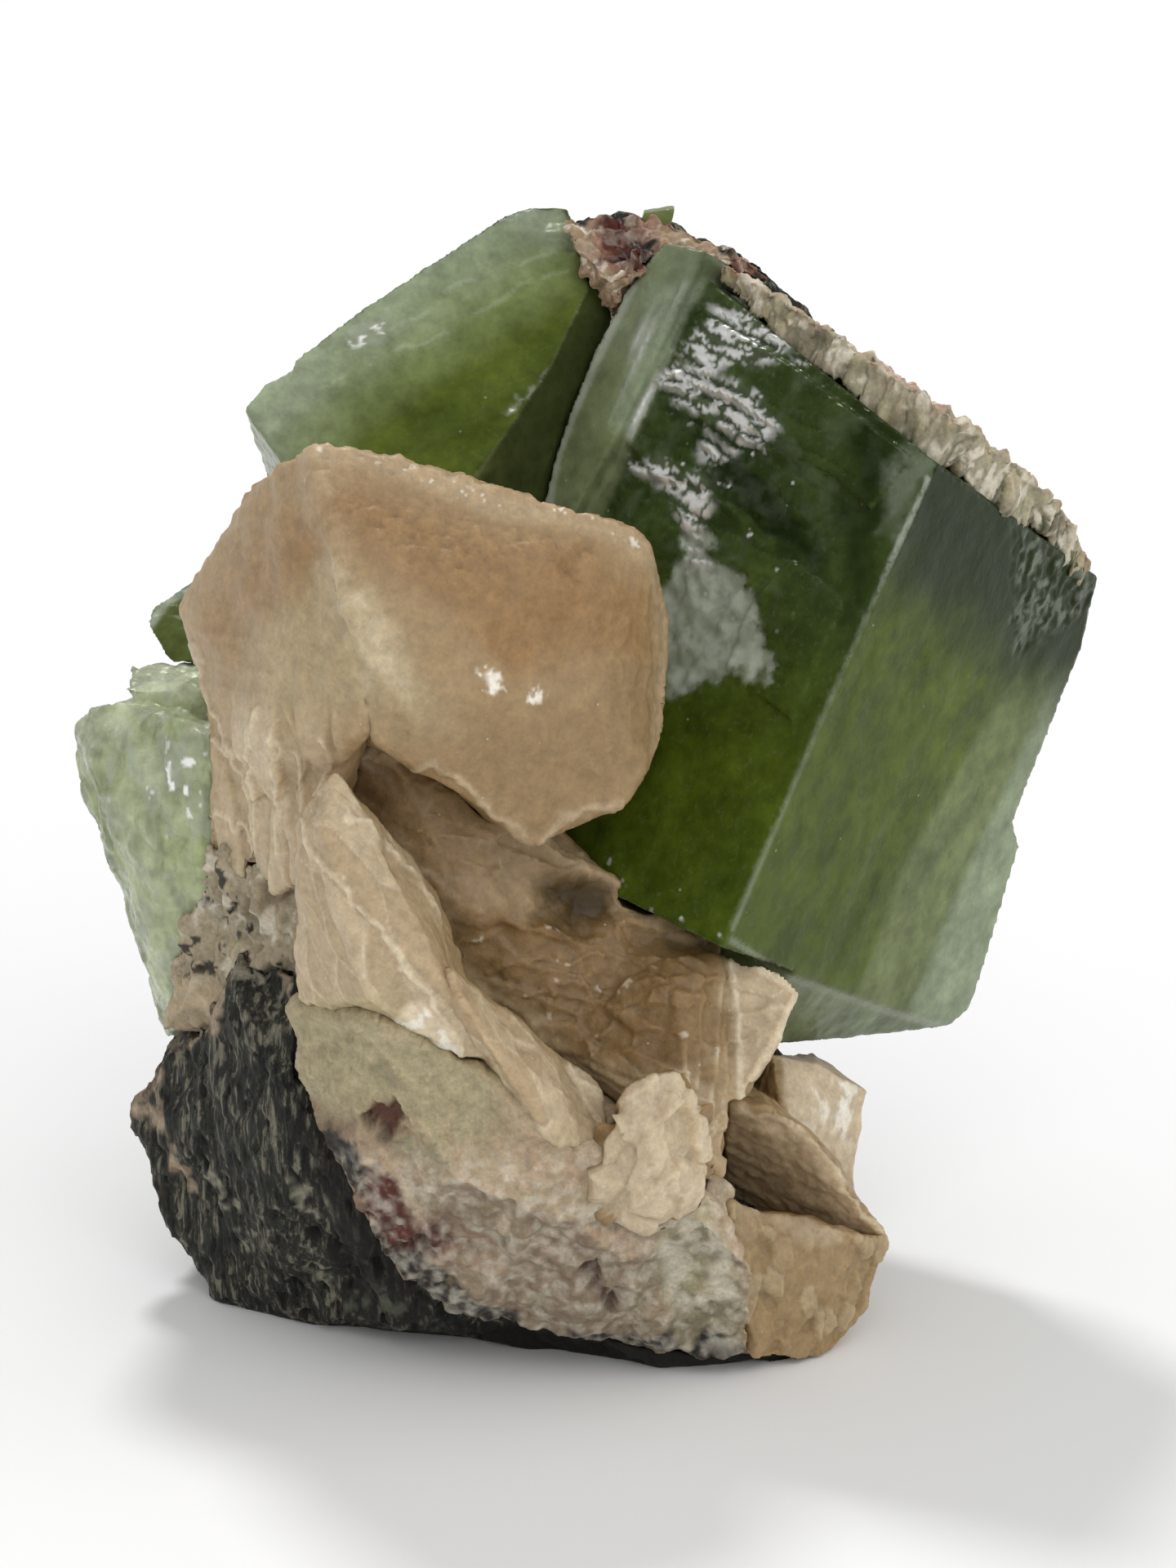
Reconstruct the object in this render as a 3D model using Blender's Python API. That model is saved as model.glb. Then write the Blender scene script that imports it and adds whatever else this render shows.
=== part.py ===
"""Green apophyllite and peach stilbite on a lump of dark basalt, a hand specimen about 84 mm tall.

Millimetres inside the script, metres in the scene. X runs to the right, Y away from the viewer and Z up.
The specimen rests on its flat foot, with the big green crystal at the upper right and the peach crystals
in front.
"""

import math

import bmesh
import bpy
from mathutils import Vector, noise

MM = 0.001

# Thickness of the layer of air that neighbouring crystals keep between them.
GAP = 0.3

# Where the two green crystals and the crust on top of the big one end at the back.
BACK_PLANE = 24.0
UPPER_CRUST_BACK = 20.5

# The big green crystal: its nearest lower corner, the way its long edge leans and its right face runs.
MAIN_CORNER = Vector((10.0, -19.0, 35.0))
MAIN_LONG_EDGE = Vector((0.406, 0.203, 0.891))
MAIN_RIGHT_EDGE = Vector((0.536, 0.737, -0.412))
MAIN_LEFT_WIDTH = 28.0
MAIN_FRONT_HEIGHT = 37.9
MAIN_PYRAMID_ANGLE = math.radians(29.0)

# The pale crystal at the upper left: a thick tablet whose face leans back.
UPPER_LEFT_LEAN = math.radians(40.0)
UPPER_LEFT_THICKNESS = 24.0

# Height of the bumps on the broken and grown surfaces, and the width of one triangle of each skin.
BASALT_BUMP = 1.8
BASALT_FACET = 10.0
CRUST_BUMP = 1.1
CRUST_FACET = 5.4
UPPER_CRUST_BUMP = 0.8
UPPER_CRUST_FACET = 3.8
STILBITE_BUMP = 0.7
STILBITE_FACET = 5.2

# Limits of the mesh work.
SPLIT_ROUNDS = 7
SAME_FACE = math.radians(3.0)
CORNER_LIMIT = 1.8
ON_PLANE = 0.002


def clear_scene():
    """Take away the objects of the scene that the script starts in."""
    for old in list(bpy.data.objects):
        bpy.data.objects.remove(old, do_unlink=True)


def make_material(name, color, roughness, transmission=0.0):
    """A plain surface in the stone's own colour."""
    material = bpy.data.materials.new(name)
    material.use_nodes = True
    shader = material.node_tree.nodes["Principled BSDF"]
    shader.inputs["Base Color"].default_value = (*color, 1.0)
    shader.inputs["Roughness"].default_value = roughness
    shader.inputs["Metallic"].default_value = 0.0
    shader.inputs["Transmission Weight"].default_value = transmission
    return material


def make_object(name, bm, material=None):
    """Turn a mesh in millimetres into an object in metres."""
    bmesh.ops.recalc_face_normals(bm, faces=bm.faces)
    bmesh.ops.scale(bm, vec=(MM, MM, MM), verts=bm.verts)
    mesh = bpy.data.meshes.new(name)
    bm.to_mesh(mesh)
    bm.free()
    made = bpy.data.objects.new(name, mesh)
    bpy.context.scene.collection.objects.link(made)
    if material:
        mesh.materials.append(material)
    return made


def hull(points):
    """The closed body with flat faces that is stretched over its corner points."""
    bm = bmesh.new()
    for point in points:
        bm.verts.new(point)
    result = bmesh.ops.convex_hull(bm, input=bm.verts)
    spare = {g for key in ("geom_interior", "geom_unused") for g in result[key]}
    bmesh.ops.delete(bm, geom=[g for g in spare if isinstance(g, bmesh.types.BMVert)], context="VERTS")
    bmesh.ops.dissolve_limit(bm, angle_limit=math.radians(2.0), verts=bm.verts, edges=bm.edges)
    bmesh.ops.recalc_face_normals(bm, faces=bm.faces)
    return bm


def prism(outline, run):
    """A closed body with the outline as its face, carried back along one direction."""
    bm = bmesh.new()
    face = bm.faces.new([bm.verts.new(point) for point in outline])
    back = bmesh.ops.extrude_face_region(bm, geom=[face])
    moved = [g for g in back["geom"] if isinstance(g, bmesh.types.BMVert)]
    bmesh.ops.translate(bm, vec=run, verts=moved)
    bmesh.ops.recalc_face_normals(bm, faces=bm.faces)
    return bm


def cut_flat(bm, point, outward):
    """Cleave the body along a plane and close it with a flat face."""
    geometry = bm.verts[:] + bm.edges[:] + bm.faces[:]
    bmesh.ops.bisect_plane(bm, geom=geometry, dist=ON_PLANE, plane_co=point, plane_no=outward,
                           clear_outer=True)
    rim = [edge for edge in bm.edges if edge.is_boundary]
    bmesh.ops.holes_fill(bm, edges=rim, sides=0)
    bmesh.ops.recalc_face_normals(bm, faces=bm.faces)


def settle(made):
    """Replace the object's mesh by the one that its modifiers make."""
    view = bpy.context.evaluated_depsgraph_get()
    mesh = bpy.data.meshes.new_from_object(made.evaluated_get(view))
    made.modifiers.clear()
    made.data = mesh


def roughen(bm, edge_length, bump, seed, bump_size):
    """Split the long edges and move the points in and out, least on the sharp edges of the body."""
    bmesh.ops.triangulate(bm, faces=bm.faces)
    for _ in range(SPLIT_ROUNDS):
        long_edges = [edge for edge in bm.edges if edge.calc_length() > edge_length]
        if not long_edges:
            break
        bmesh.ops.subdivide_edges(bm, edges=long_edges, cuts=1)
        bmesh.ops.triangulate(bm, faces=bm.faces)
    inner = [edge for edge in bm.edges if edge.calc_face_angle() < SAME_FACE]
    bmesh.ops.beautify_fill(bm, faces=bm.faces, edges=inner)
    bmesh.ops.recalc_face_normals(bm, faces=bm.faces)
    bm.normal_update()
    start = Vector((seed * 13.7, seed * 7.1, seed * 3.3))
    moves = []
    for vert in bm.verts:
        place = vert.co / bump_size + start
        height = noise.noise(place) + 0.6 * noise.noise(place * 2.3)
        moves.append(vert.normal * bump * height / vert.calc_shell_factor() ** 3)
    for vert, move in zip(bm.verts, moves):
        vert.co += move


def rough_mass(name, bodies, material, edge_length, bump, seed, bump_size=6.0):
    """Lumps with a bumpy skin that grew or broke as one piece, and their jackets."""
    for number, body in enumerate(bodies):
        roughen(body, edge_length, bump, seed + number, bump_size)
    return faceted(name, bodies, material)


def combine(base, tool, operation):
    """Join the tool to the base or cut it out, and leave one plain mesh."""
    step = base.modifiers.new("combine", "BOOLEAN")
    step.object = tool
    step.operation = operation
    step.solver = "EXACT"
    settle(base)
    bpy.data.objects.remove(tool, do_unlink=True)


def keep_largest_piece(made):
    """Drop the loose chips that a cut leaves."""
    bm = bmesh.new()
    bm.from_mesh(made.data)
    groups = []
    waiting = set(bm.verts)
    while waiting:
        group = set()
        front = [waiting.pop()]
        while front:
            vert = front.pop()
            group.add(vert)
            for edge in vert.link_edges:
                other = edge.other_vert(vert)
                if other in waiting:
                    waiting.discard(other)
                    front.append(other)
        groups.append(group)
    groups.sort(key=len, reverse=True)
    chips = [vert for group in groups[1:] for vert in group]
    bmesh.ops.delete(bm, geom=chips, context="VERTS")
    bmesh.ops.triangulate(bm, faces=bm.faces)
    bmesh.ops.recalc_face_normals(bm, faces=bm.faces)
    bm.to_mesh(made.data)
    bm.free()


def jacket(bm):
    """A copy of the body in metres with every face moved outward by the gap."""
    grown = bm.copy()
    bmesh.ops.triangulate(grown, faces=grown.faces)
    bmesh.ops.recalc_face_normals(grown, faces=grown.faces)
    grown.normal_update()
    moves = [vert.normal * GAP * min(vert.calc_shell_factor(), CORNER_LIMIT) for vert in grown.verts]
    for vert, move in zip(grown.verts, moves):
        vert.co += move
    bmesh.ops.scale(grown, vec=(MM, MM, MM), verts=grown.verts)
    mesh = bpy.data.meshes.new("jacket")
    grown.to_mesh(mesh)
    grown.free()
    return mesh


def faceted(name, bodies, material):
    """Crystals with flat faces that grew together, and the jackets that keep their neighbours off."""
    jackets = [jacket(body) for body in bodies]
    base = make_object(name, bodies[0], material)
    for number, body in enumerate(bodies[1:]):
        combine(base, make_object(f"{name}_add_{number}", body), "UNION")
    return base, jackets


def make_room(target, jackets):
    """Cut the neighbours out of the target, with a thin gap all round."""
    for mesh in jackets:
        tool = bpy.data.objects.new(mesh.name, mesh)
        bpy.context.scene.collection.objects.link(tool)
        combine(target, tool, "DIFFERENCE")
    keep_largest_piece(target)


def main_axes():
    """The three directions of the big crystal: up its long edge, and back along its left and right faces."""
    up = MAIN_LONG_EDGE.normalized()
    right = (MAIN_RIGHT_EDGE - up * MAIN_RIGHT_EDGE.dot(up)).normalized()
    return up, up.cross(right), right


def in_main(left, right, up):
    """A point given by its distances along the big crystal's own edges."""
    up_edge, left_edge, right_edge = main_axes()
    return MAIN_CORNER + left_edge * left + right_edge * right + up_edge * up


def main_crystal_block():
    """The big crystal, with a notch in its right side and a pyramid facet under the right face."""
    up_edge, left_edge, right_edge = main_axes()
    face = ((0.0, -0.8), (0.0, 50.0), (24.0, 50.0), (29.6, 35.2), (31.2, 31.2), (32.6, 16.4), (35.2, 14.8),
            (38.4, 4.0), (38.8, 1.0), (37.0, -1.0), (26.0, -4.8), (19.5, -6.8), (13.5, -7.2), (11.0, -0.8))
    bm = prism([in_main(0.0, right, up) for right, up in face], left_edge * MAIN_LEFT_WIDTH)
    top = up_edge - left_edge * 0.27 + right_edge * 0.04
    cut_flat(bm, in_main(0.0, 0.0, MAIN_FRONT_HEIGHT), top.normalized())
    left_end, right_end, back_end = in_main(26.0, 2.0, 45.3), in_main(2.0, 28.0, 38.5), in_main(28.0, 30.0, 38.0)
    behind = (back_end - left_end).cross(right_end - left_end).normalized()
    cut_flat(bm, left_end, behind if behind.dot(up_edge) > 0 else -behind)
    facet = -left_edge * math.cos(MAIN_PYRAMID_ANGLE) - up_edge * math.sin(MAIN_PYRAMID_ANGLE)
    cut_flat(bm, in_main(0.0, 0.0, -0.8), facet)
    cut_flat(bm, Vector((0.0, BACK_PLANE, 0.0)), Vector((0.0, 1.0, 0.0)))
    return bm


def main_crystal_plate():
    """The thin plate that stands along the left face, with its edge bowed outward."""
    rim = ((25.8, 46.6), (29.8, 46.2), (31.2, 42.0), (31.7, 36.5), (31.5, 31.5), (31.0, 27.5), (30.2, 24.0),
           (27.5, 22.0), (26.5, 30.0))
    return prism([in_main(left, -1.6, up) for left, up in rim], main_axes()[2] * 12.0)


def main_crystal_ledges():
    """Thin layers that are left standing on the upper part of the left face, each with a broken lower edge."""
    layers = (
        (0.55, ((2.0, 37.6), (3.5, 33.0), (8.0, 34.4), (15.0, 34.0), (21.0, 36.4), (26.0, 36.0), (26.0, 42.8),
                (14.0, 40.6))),
        (0.3, ((9.0, 34.0), (13.5, 28.4), (18.0, 29.8), (22.5, 29.2), (26.5, 31.0), (26.0, 36.8), (20.0, 36.8))),
        (0.35, ((2.2, 16.5), (9.5, 18.0), (10.0, 22.5), (8.0, 27.5), (2.4, 26.0))),
    )
    ledges = []
    for height, outline in layers:
        corners = [in_main(left, -height, up) for left, up in outline]
        ledges.append(prism(corners, main_axes()[2] * 3.0))
    return ledges


def main_crystal(material):
    """The big crystal with its plate and ledges."""
    bodies = [main_crystal_block(), main_crystal_plate()] + main_crystal_ledges()
    return faceted("apophyllite_main", bodies, material)


def upper_left_crystal(material):
    """A thick tablet with a notch at its left corner and a stepped lower right edge."""
    face = ((-26.3, 70.4), (-24.8, 72.1), (-22.8, 73.0), (-22.5, 73.8), (-17.1, 77.5), (-6.6, 83.8),
            (-4.5, 84.5), (-1.6, 84.4), (0.1, 78.7), (-2.7, 73.5), (-5.9, 70.8), (-9.3, 64.8),
            (-13.0, 60.0), (-20.0, 60.5), (-22.9, 66.3))
    slope = math.tan(UPPER_LEFT_LEAN)
    outline = [Vector((x, 3.6 + slope * (z - 71.0), z)) for x, z in face]
    inward = Vector((0.09, math.cos(UPPER_LEFT_LEAN), -math.sin(UPPER_LEFT_LEAN)))
    bm = prism(outline, inward * UPPER_LEFT_THICKNESS)
    cut_flat(bm, Vector((0.0, BACK_PLANE, 0.0)), Vector((0.0, 1.0, 0.0)))
    side = hull([Vector(p) for p in (
        (0.1, 10.2, 78.7), (-2.7, 5.8, 73.5), (-6.1, 3.7, 71.0), (-9.3, -1.5, 64.8), (-13.0, -5.4, 60.0),
        (4.5, 14.5, 79.0), (3.5, 11.8, 74.5), (-0.5, 8.4, 66.0), (-3.0, 5.4, 60.0), (-4.0, 17.0, 76.0),
        (-2.0, 16.0, 66.0), (-12.0, 6.0, 60.0))])
    return faceted("apophyllite_upper_left", [bm, side], material)


def lower_left_crystal(material):
    """The rough block that leans out at the left, with the small block on its top."""
    block = hull([Vector(p) for p in (
        (-40.0, 2.0, 43.0), (-39.5, 1.0, 46.0), (-38.5, 0.0, 47.3), (-35.5, -2.0, 48.6), (-38.6, -2.0, 44.0),
        (-28.5, -8.0, 47.5), (-28.5, -8.0, 37.0), (-35.5, -5.0, 39.0), (-33.6, -3.5, 30.0), (-27.0, -7.0, 34.5),
        (-32.4, -2.0, 22.5), (-34.0, 6.0, 18.8), (-36.6, 6.0, 28.0), (-39.0, 5.0, 39.0), (-26.0, -6.0, 24.0),
        (-24.0, 4.0, 48.0), (-36.0, 13.0, 45.0), (-31.0, 17.0, 44.0), (-31.0, 14.0, 22.0), (-22.0, 12.0, 22.0))])
    cap = hull([Vector(p) for p in (
        (-35.6, 4.0, 49.8), (-30.6, 4.0, 50.2), (-35.8, 0.5, 49.0), (-29.5, -3.0, 49.6), (-34.0, -1.0, 45.0),
        (-28.0, -2.0, 45.0), (-34.0, 10.0, 46.0), (-27.0, 10.0, 47.0), (-28.0, 6.0, 50.0))])
    return faceted("apophyllite_lower_left", [block, cap], material)


def small_left_crystal(material):
    """The dark corner with a pale edge that looks out between the stilbite and the lower left crystal."""
    bm = hull([Vector(p) for p in (
        (-34.6, 6.0, 52.9), (-34.4, 7.5, 53.8), (-31.4, 9.5, 55.6), (-27.0, 12.0, 57.0), (-33.0, 4.0, 51.0),
        (-30.0, 2.0, 47.5), (-26.0, 1.0, 46.0), (-29.0, 13.0, 50.0), (-22.0, 14.0, 54.0), (-24.0, 3.0, 52.0))])
    return faceted("apophyllite_small_left", [bm], material)


def tiny_top_crystal(material):
    """A tiny green crystal on the crust at the very top."""
    centre = Vector((5.4, 15.0, 83.4))
    half = (1.2, 1.0, 0.9)
    corners = [centre + Vector((sx * half[0] + sz * 0.2, sy * half[1], sz * half[2] + sx * 0.15))
               for sx in (-1, 1) for sy in (-1, 1) for sz in (-1, 1)]
    return faceted("apophyllite_tiny_top", [hull(corners)], material)


def crown_stilbite(material):
    """The big peach crystal: a right block, a left face that turns away, and blades hanging at the left."""
    right_block = hull([Vector(p) for p in (
        (-19.8, -16.0, 70.8), (-16.0, -16.2, 70.3), (-11.2, -16.2, 68.8), (-9.2, -16.0, 67.6),
        (-3.6, -14.8, 66.0), (1.8, -13.4, 64.8), (4.2, -12.0, 62.9), (4.8, -11.0, 61.0), (5.7, -11.0, 57.0), (6.0, -12.0, 52.8),
        (5.7, -13.0, 49.3), (4.2, -15.0, 47.0), (2.4, -16.5, 44.4), (-3.9, -18.0, 41.9), (-7.0, -19.5, 44.6),
        (-12.3, -21.5, 49.0), (-15.0, -22.0, 50.7), (-18.2, -20.0, 66.0), (-17.0, -22.6, 60.4),
        (-9.2, -20.8, 62.2), (-1.2, -17.8, 60.6), (-7.0, -22.0, 54.0), (1.2, -17.5, 52.3), (-13.9, -23.5, 53.8),
        (-20.0, 2.0, 62.0), (0.0, 1.0, 58.0), (2.0, 0.0, 48.0),
        (-6.0, -3.0, 42.0), (-18.0, -2.0, 46.0), (-18.0, -4.0, 66.0), (0.0, -3.0, 61.5))])
    left_block = hull([Vector(p) for p in (
        (-19.8, -16.0, 70.6), (-22.4, -13.0, 68.7), (-25.0, -9.0, 66.3), (-26.7, -7.0, 62.3), (-29.8, -5.5, 58.2),
        (-30.5, -5.0, 56.5), (-30.1, -5.5, 53.8), (-29.2, -7.0, 50.4), (-28.0, -9.0, 47.7), (-18.5, -19.5, 66.0),
        (-25.0, -13.5, 60.0), (-25.0, -14.5, 53.4), (-16.8, -22.0, 58.2), (-15.7, -22.0, 51.6),
        (-21.9, -18.0, 48.0), (-17.6, -20.0, 48.7), (-24.0, 0.0, 62.0), (-26.0, -1.0, 50.0), (-18.0, -4.0, 44.0),
        (-18.0, -4.0, 64.0), (-25.5, -13.0, 44.0))])
    blades = hull([Vector(p) for p in (
        (-28.2, -9.0, 48.3), (-28.2, -9.5, 44.0), (-28.8, -8.5, 41.5), (-28.3, -8.0, 39.0), (-25.2, -12.0, 38.4),
        (-23.2, -14.0, 39.2), (-20.8, -16.5, 41.0), (-19.7, -18.0, 46.0), (-17.7, -19.0, 48.4),
        (-16.4, -20.0, 50.5), (-24.0, -5.0, 37.5), (-18.0, -8.0, 41.0), (-24.0, -4.0, 50.0))])
    bodies = [right_block, left_block, blades]
    return rough_mass("stilbite_crown", bodies, material, STILBITE_FACET, STILBITE_BUMP, 3)


def ridge_stilbite(material):
    """Two long blades that run down to the right in front of the cavity."""
    upper = hull([Vector(p) for p in (
        (-18.0, -23.0, 48.3), (-20.6, -22.5, 44.5), (-16.5, -23.5, 46.3), (-20.6, -22.5, 40.5),
        (-18.5, -26.0, 45.0), (-13.0, -19.0, 41.0), (-11.5, -18.0, 37.5), (-9.5, -19.0, 33.0),
        (-13.5, -27.5, 37.0), (-10.5, -27.5, 34.5), (-21.0, -21.5, 31.0), (-15.5, -27.5, 33.0),
        (-9.5, -26.5, 29.0), (-7.0, -25.5, 28.0), (-20.0, -14.0, 32.0), (-17.0, -13.0, 42.0))])
    lower = hull([Vector(p) for p in (
        (-10.0, -26.5, 35.0), (-8.5, -22.0, 31.5), (-4.0, -20.0, 28.0), (0.5, -20.0, 24.0), (1.5, -24.0, 21.0),
        (-3.5, -26.5, 23.0), (-6.0, -28.0, 28.0), (-9.0, -28.5, 33.3), (-2.0, -27.0, 22.0),
        (-12.0, -21.0, 31.0), (-7.0, -19.0, 24.0), (0.0, -19.0, 20.0))])
    return rough_mass("stilbite_ridge", [upper, lower], material, STILBITE_FACET, STILBITE_BUMP, 7)


def bowl_stilbite(material):
    """The blades behind and to the right of the ridge, with the upright fin and the cream lump."""
    back = hull([Vector(p) for p in (
        (-19.5, -13.0, 47.5), (-15.0, -14.5, 48.5), (-9.5, -11.0, 45.0), (-2.0, -8.0, 37.0), (2.5, -8.0, 36.0),
        (10.0, -12.0, 32.0), (10.0, -14.0, 23.5), (9.0, -18.0, 15.0), (1.5, -18.0, 19.5), (-9.5, -16.0, 30.5),
        (-11.5, -14.0, 35.0), (-20.0, -12.0, 42.0), (-16.0, -4.0, 44.0), (-14.0, 2.0, 36.0), (8.0, 2.0, 34.0),
        (8.0, 2.0, 14.0), (-14.0, 0.0, 20.0), (-14.0, -12.0, 18.0))])
    plates = hull([Vector(p) for p in (
        (1.5, -9.0, 35.0), (5.0, -10.0, 34.5), (9.5, -15.0, 32.0), (10.2, -17.0, 28.0), (10.0, -20.5, 23.0),
        (10.0, -21.5, 17.0), (7.0, -23.0, 22.0), (1.0, -18.0, 23.0), (-2.0, -16.0, 25.0), (-5.0, -16.0, 27.0),
        (6.8, -19.0, 30.5), (8.0, -8.0, 22.0))])
    fin = hull([Vector(p) for p in (
        (9.4, -14.5, 32.0), (13.0, -15.0, 31.0), (15.5, -15.6, 29.8), (15.6, -15.0, 29.0), (13.6, -17.6, 25.8),
        (11.4, -19.8, 22.6), (10.0, -20.0, 22.6), (9.5, -11.0, 30.0), (13.0, -12.0, 28.0), (10.5, -14.0, 22.0))])
    lump = hull([Vector(p) for p in (
        (3.5, -25.0, 25.0), (4.7, -25.0, 26.2), (6.5, -24.0, 26.2), (7.2, -24.5, 24.4), (8.9, -24.0, 20.8),
        (9.3, -24.0, 18.3), (7.7, -25.0, 16.1), (4.2, -26.0, 15.2), (1.5, -26.5, 16.7), (1.2, -26.5, 21.9),
        (4.5, -28.0, 21.0), (6.2, -27.3, 18.6), (3.0, -18.0, 22.0), (8.0, -18.0, 16.0), (3.0, -19.0, 15.5))])
    return rough_mass("stilbite_bowl", [back, plates, fin, lump], material, STILBITE_FACET, STILBITE_BUMP, 11)


def right_stilbite(material):
    """The flat shiny blade under the big crystal, the overhanging wedge and the pale block in front of it."""
    flat = hull([Vector(p) for p in (
        (14.3, -5.0, 21.0), (17.9, -4.0, 20.0), (21.9, -2.0, 17.0), (21.6, -2.0, 14.6), (21.4, -2.0, 10.5),
        (21.1, -2.0, 8.0), (15.2, -8.0, 16.8), (12.0, -4.0, 12.0), (18.0, 4.0, 18.0), (19.0, 5.0, 10.0),
        (12.0, 5.0, 14.0), (21.5, 2.0, 15.5))])
    wedge = hull([Vector(p) for p in (
        (10.8, -14.0, 20.3), (13.6, -14.0, 20.0), (16.4, -14.0, 18.2), (18.0, -14.0, 16.3), (20.4, -13.5, 12.1),
        (22.9, -12.0, 8.8), (10.8, -5.0, 13.7), (10.8, -6.0, 9.3), (14.2, -6.0, 7.6), (17.3, -7.0, 6.0),
        (19.5, -9.0, 6.4), (12.0, 0.0, 17.5), (18.0, -1.0, 13.0), (21.0, -3.5, 7.5), (12.0, 2.0, 6.0),
        (16.0, 0.0, 2.5), (20.0, -6.0, 3.0))])
    front = hull([Vector(p) for p in (
        (10.6, -18.5, 14.3), (12.8, -18.5, 12.3), (16.6, -17.5, 10.0), (20.5, -14.5, 9.6), (22.9, -12.0, 8.4),
        (22.7, -11.5, 6.8), (21.5, -12.0, 2.9), (19.2, -13.0, 2.0), (18.9, -14.0, 0.4), (17.8, -15.5, 0.0),
        (12.6, -18.5, 1.6), (11.0, -19.8, 8.9), (11.0, -8.0, 9.0), (17.0, -7.0, 6.0), (20.0, -8.0, 2.0),
        (11.0, -8.0, 2.0), (16.0, -6.0, 1.0))])
    return rough_mass("stilbite_right", [flat, wedge, front], material, STILBITE_FACET, STILBITE_BUMP, 18)


def drusy_crust(material):
    """The cream and rust-red druse that coats the front of the foot."""
    body = hull([Vector(p) for p in (
        (-21.0, -20.0, 30.0), (-22.0, -19.5, 25.5), (-21.0, -20.5, 23.0), (-19.0, -21.5, 21.5),
        (-17.0, -22.5, 15.5), (-14.5, -21.5, 10.0), (-10.0, -20.5, 6.0), (-1.0, -19.5, 3.5), (5.0, -18.5, 2.0),
        (12.3, -19.0, 1.8), (12.0, -22.0, 10.0), (10.0, -23.0, 15.5), (-9.5, -26.5, 28.0), (-16.0, -25.5, 31.0),
        (-4.5, -26.5, 22.0), (1.0, -25.5, 21.0), (-1.0, -26.5, 15.5), (-9.5, -26.5, 19.0), (8.0, -24.5, 15.0),
        (-17.0, -13.0, 30.0), (-13.0, -12.0, 9.0), (0.0, -10.0, 4.0), (10.0, -10.0, 3.0), (8.0, -12.0, 18.0),
        (4.0, -19.0, 21.0))])
    side = hull([Vector(p) for p in (
        (-28.6, -8.6, 39.0), (-25.4, -11.5, 39.6), (-21.0, -15.5, 39.0), (-20.3, -16.0, 34.0),
        (-23.4, -9.0, 32.0), (-26.4, -8.6, 31.0), (-29.2, -8.0, 28.6), (-31.0, -6.6, 25.8), (-33.4, -4.0, 22.6),
        (-31.5, -3.0, 30.0), (-22.0, 0.0, 35.0), (-28.0, 0.0, 24.0), (-20.0, -6.0, 28.0), (-16.5, -16.5, 28.5),
        (-17.0, -16.0, 25.0))])
    return rough_mass("drusy_crust", [body, side], material, CRUST_FACET, CRUST_BUMP, 23, 4.0)


def upper_crust(material):
    """The cream crust that follows the broken upper right edge of the big crystal."""
    body = hull([in_main(left, right, up) for left, right, up in (
        (0.2, 0.2, 41.3), (13.0, 0.2, 44.3), (26.0, 0.4, 46.7), (0.2, 12.0, 40.9), (0.2, 24.0, 39.3),
        (0.6, 29.6, 36.0), (28.0, 14.0, 43.3), (28.0, 28.0, 39.2), (14.0, 30.2, 37.3), (14.0, 14.0, 43.1),
        (3.0, 3.0, 36.0), (24.0, 3.0, 38.0), (3.0, 26.0, 33.0), (26.0, 26.0, 33.0))])
    cut_flat(body, Vector((0.0, UPPER_CRUST_BACK, 0.0)), Vector((0.0, 1.0, 0.0)))
    return rough_mass("upper_crust", [body], material, UPPER_CRUST_FACET, UPPER_CRUST_BUMP, 33, 3.0)


def peak_crust(material):
    """The pink and rust-brown crust between the two crystals at the top."""
    body = hull([Vector(p) for p in (
        (-2.0, 12.0, 83.8), (2.0, 13.0, 84.4), (6.0, 13.0, 83.6), (9.0, 12.0, 82.6), (12.5, 11.0, 81.0),
        (14.5, 13.0, 79.0), (-1.2, 9.5, 82.0), (1.5, 7.0, 79.6), (5.0, 7.4, 80.6), (-1.0, 16.0, 81.0),
        (12.0, 16.5, 79.0), (2.0, 12.0, 74.0), (10.0, 14.0, 74.0))])
    return rough_mass("peak_crust", [body], material, UPPER_CRUST_FACET, CRUST_BUMP, 35, 3.0)


def basalt_foot():
    """The lower lump, flat underneath, with its dark broken face at the left."""
    return hull([Vector(p) for p in (
        (-24.5, -8.0, 32.5), (-24.2, -12.0, 33.2), (-26.2, -11.3, 31.4), (-28.0, -10.0, 27.6),
        (-29.5, -9.0, 24.5), (-32.5, -5.0, 21.5),
        (-35.0, 0.0, 15.7), (-35.6, 1.0, 13.2), (-34.6, -1.0, 9.7), (-33.6, -1.0, 6.4), (-31.1, -3.0, 2.2),
        (-29.8, -4.0, -0.5), (-28.0, -5.0, -0.5), (-22.5, -13.0, 29.5), (-21.7, -17.0, 28.0),
        (-22.2, -19.0, 22.0), (-19.7, -19.5, 16.5), (-17.2, -18.5, 12.5), (-14.2, -15.0, 3.5),
        (-16.0, -9.2, -1.0), (-1.3, -13.2, -1.0), (11.2, -15.9, -1.0), (17.0, -16.0, -0.8), (0.0, -17.5, 3.0),
        (10.0, -17.5, 1.5), (18.5, -4.0, 0.0), (19.0, 10.0, -0.5), (15.0, 24.0, -0.5), (-20.0, 25.0, -0.5),
        (-29.0, 12.0, -0.5), (-33.0, 10.0, 18.0), (-20.0, 0.0, 36.0), (6.0, 0.0, 26.0), (12.0, 18.0, 24.0))])


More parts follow.
